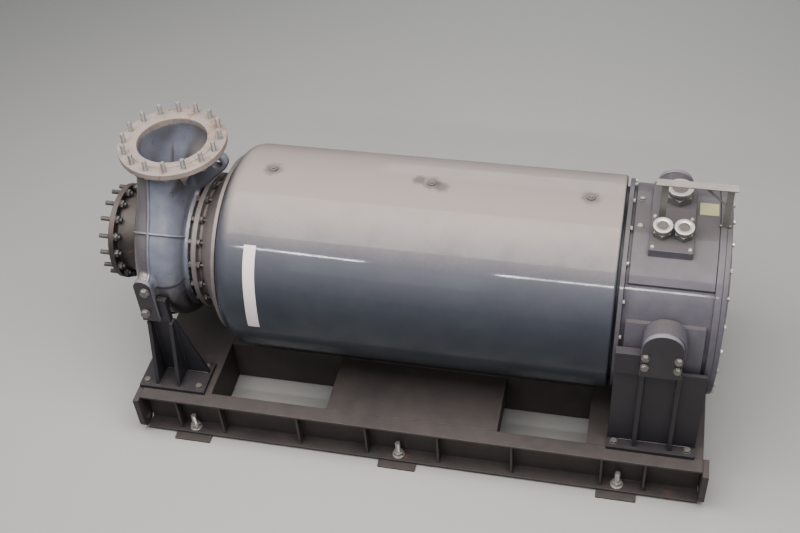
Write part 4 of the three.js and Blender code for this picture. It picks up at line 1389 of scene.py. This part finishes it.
class PUMPSET_OT_stage(PumpOperator):
    """Set up the pale floor, the soft studio light and the camera"""

    bl_idname = "pumpset.stage"
    bl_label = "Stage"

    def execute(self, context):
        scene = context.scene
        sizes = scene.pump_stage
        camera = bpy.data.cameras.new("camera")
        camera.lens = sizes.lens
        camera.sensor_width = 36.0
        holder = aimed("camera", camera, sizes.camera, sizes.target)
        holder.rotation_quaternion = holder.rotation_quaternion @ Quaternion(UP, sizes.roll)
        scene.camera = holder
        self.floor(sizes)
        world = bpy.data.worlds.new("studio")
        scene.world = world
        world.use_nodes = True
        sky = world.node_tree.nodes["Background"].inputs
        sky["Color"].default_value = SKY
        sky["Strength"].default_value = SKY_STRENGTH
        scene.view_settings.look = "AgX - Medium High Contrast"
        for name, place, target, size, power, colour in LIGHTS:
            lamp = bpy.data.lights.new(name, "AREA")
            lamp.shape = "RECTANGLE"
            lamp.size, lamp.size_y = size
            lamp.energy = power
            lamp.color = colour
            aimed(name, lamp, place, target)
        return self.finish()

    def floor(self, sizes):
        """A plain matt floor."""
        material = bpy.data.materials.new("pale_floor")
        material.use_nodes = True
        shader = material.node_tree.nodes["Principled BSDF"]
        shader.inputs["Base Color"].default_value = colour4(sizes.floor)
        shader.inputs["Roughness"].default_value = 0.75
        reach = sizes.reach
        mesh = bpy.data.meshes.new("floor")
        corners = [(-reach, -reach, 0), (reach, -reach, 0), (reach, reach, 0), (-reach, reach, 0)]
        mesh.from_pydata(corners, [], [(0, 1, 2, 3)])
        mesh.materials.append(material)
        floor = bpy.data.objects.new("floor", mesh)
        bpy.context.scene.collection.objects.link(floor)


OPERATORS = (
    PUMPSET_OT_stage, PUMPSET_OT_base_frame, PUMPSET_OT_anchors, PUMPSET_OT_supports,
    PUMPSET_OT_clamp_plates, PUMPSET_OT_suction_nozzle, PUMPSET_OT_spiral_casing,
    PUMPSET_OT_bearing_bracket, PUMPSET_OT_cooling_jacket, PUMPSET_OT_cable_head,
    PUMPSET_OT_end_cover, PUMPSET_OT_cable_entry,
)
GROUPS = {
    "pump_casing": CasingSizes, "pump_flanges": FlangeSizes, "pump_motor": MotorSizes,
    "pump_finish": FinishColours, "pump_stage": StageSizes,
}


class PUMPSET_PT_panel(bpy.types.Panel):
    """Lists the pump set's pieces and sizes."""

    bl_idname = "PUMPSET_PT_panel"
    bl_label = "Pump Set"
    bl_space_type = "VIEW_3D"
    bl_region_type = "UI"
    bl_category = "Pump Set"

    def draw(self, context):
        for operator in OPERATORS:
            self.layout.operator(operator.bl_idname)
        for name, group in GROUPS.items():
            box = self.layout.box()
            for size in group.__annotations__:
                box.prop(getattr(context.scene, name), size)


def register():
    for group in GROUPS.values():
        bpy.utils.register_class(group)
    for operator in OPERATORS:
        bpy.utils.register_class(operator)
    bpy.utils.register_class(PUMPSET_PT_panel)
    for name, group in GROUPS.items():
        setattr(bpy.types.Scene, name, PointerProperty(type=group))


def unregister():
    for name in GROUPS:
        delattr(bpy.types.Scene, name)
    bpy.utils.unregister_class(PUMPSET_PT_panel)
    for operator in reversed(OPERATORS):
        bpy.utils.unregister_class(operator)
    for group in reversed(list(GROUPS.values())):
        bpy.utils.unregister_class(group)


def main():
    register()
    for operator in OPERATORS:
        family, name = operator.bl_idname.split(".")
        getattr(getattr(bpy.ops, family), name)()


if __name__ == "__main__":
    main()
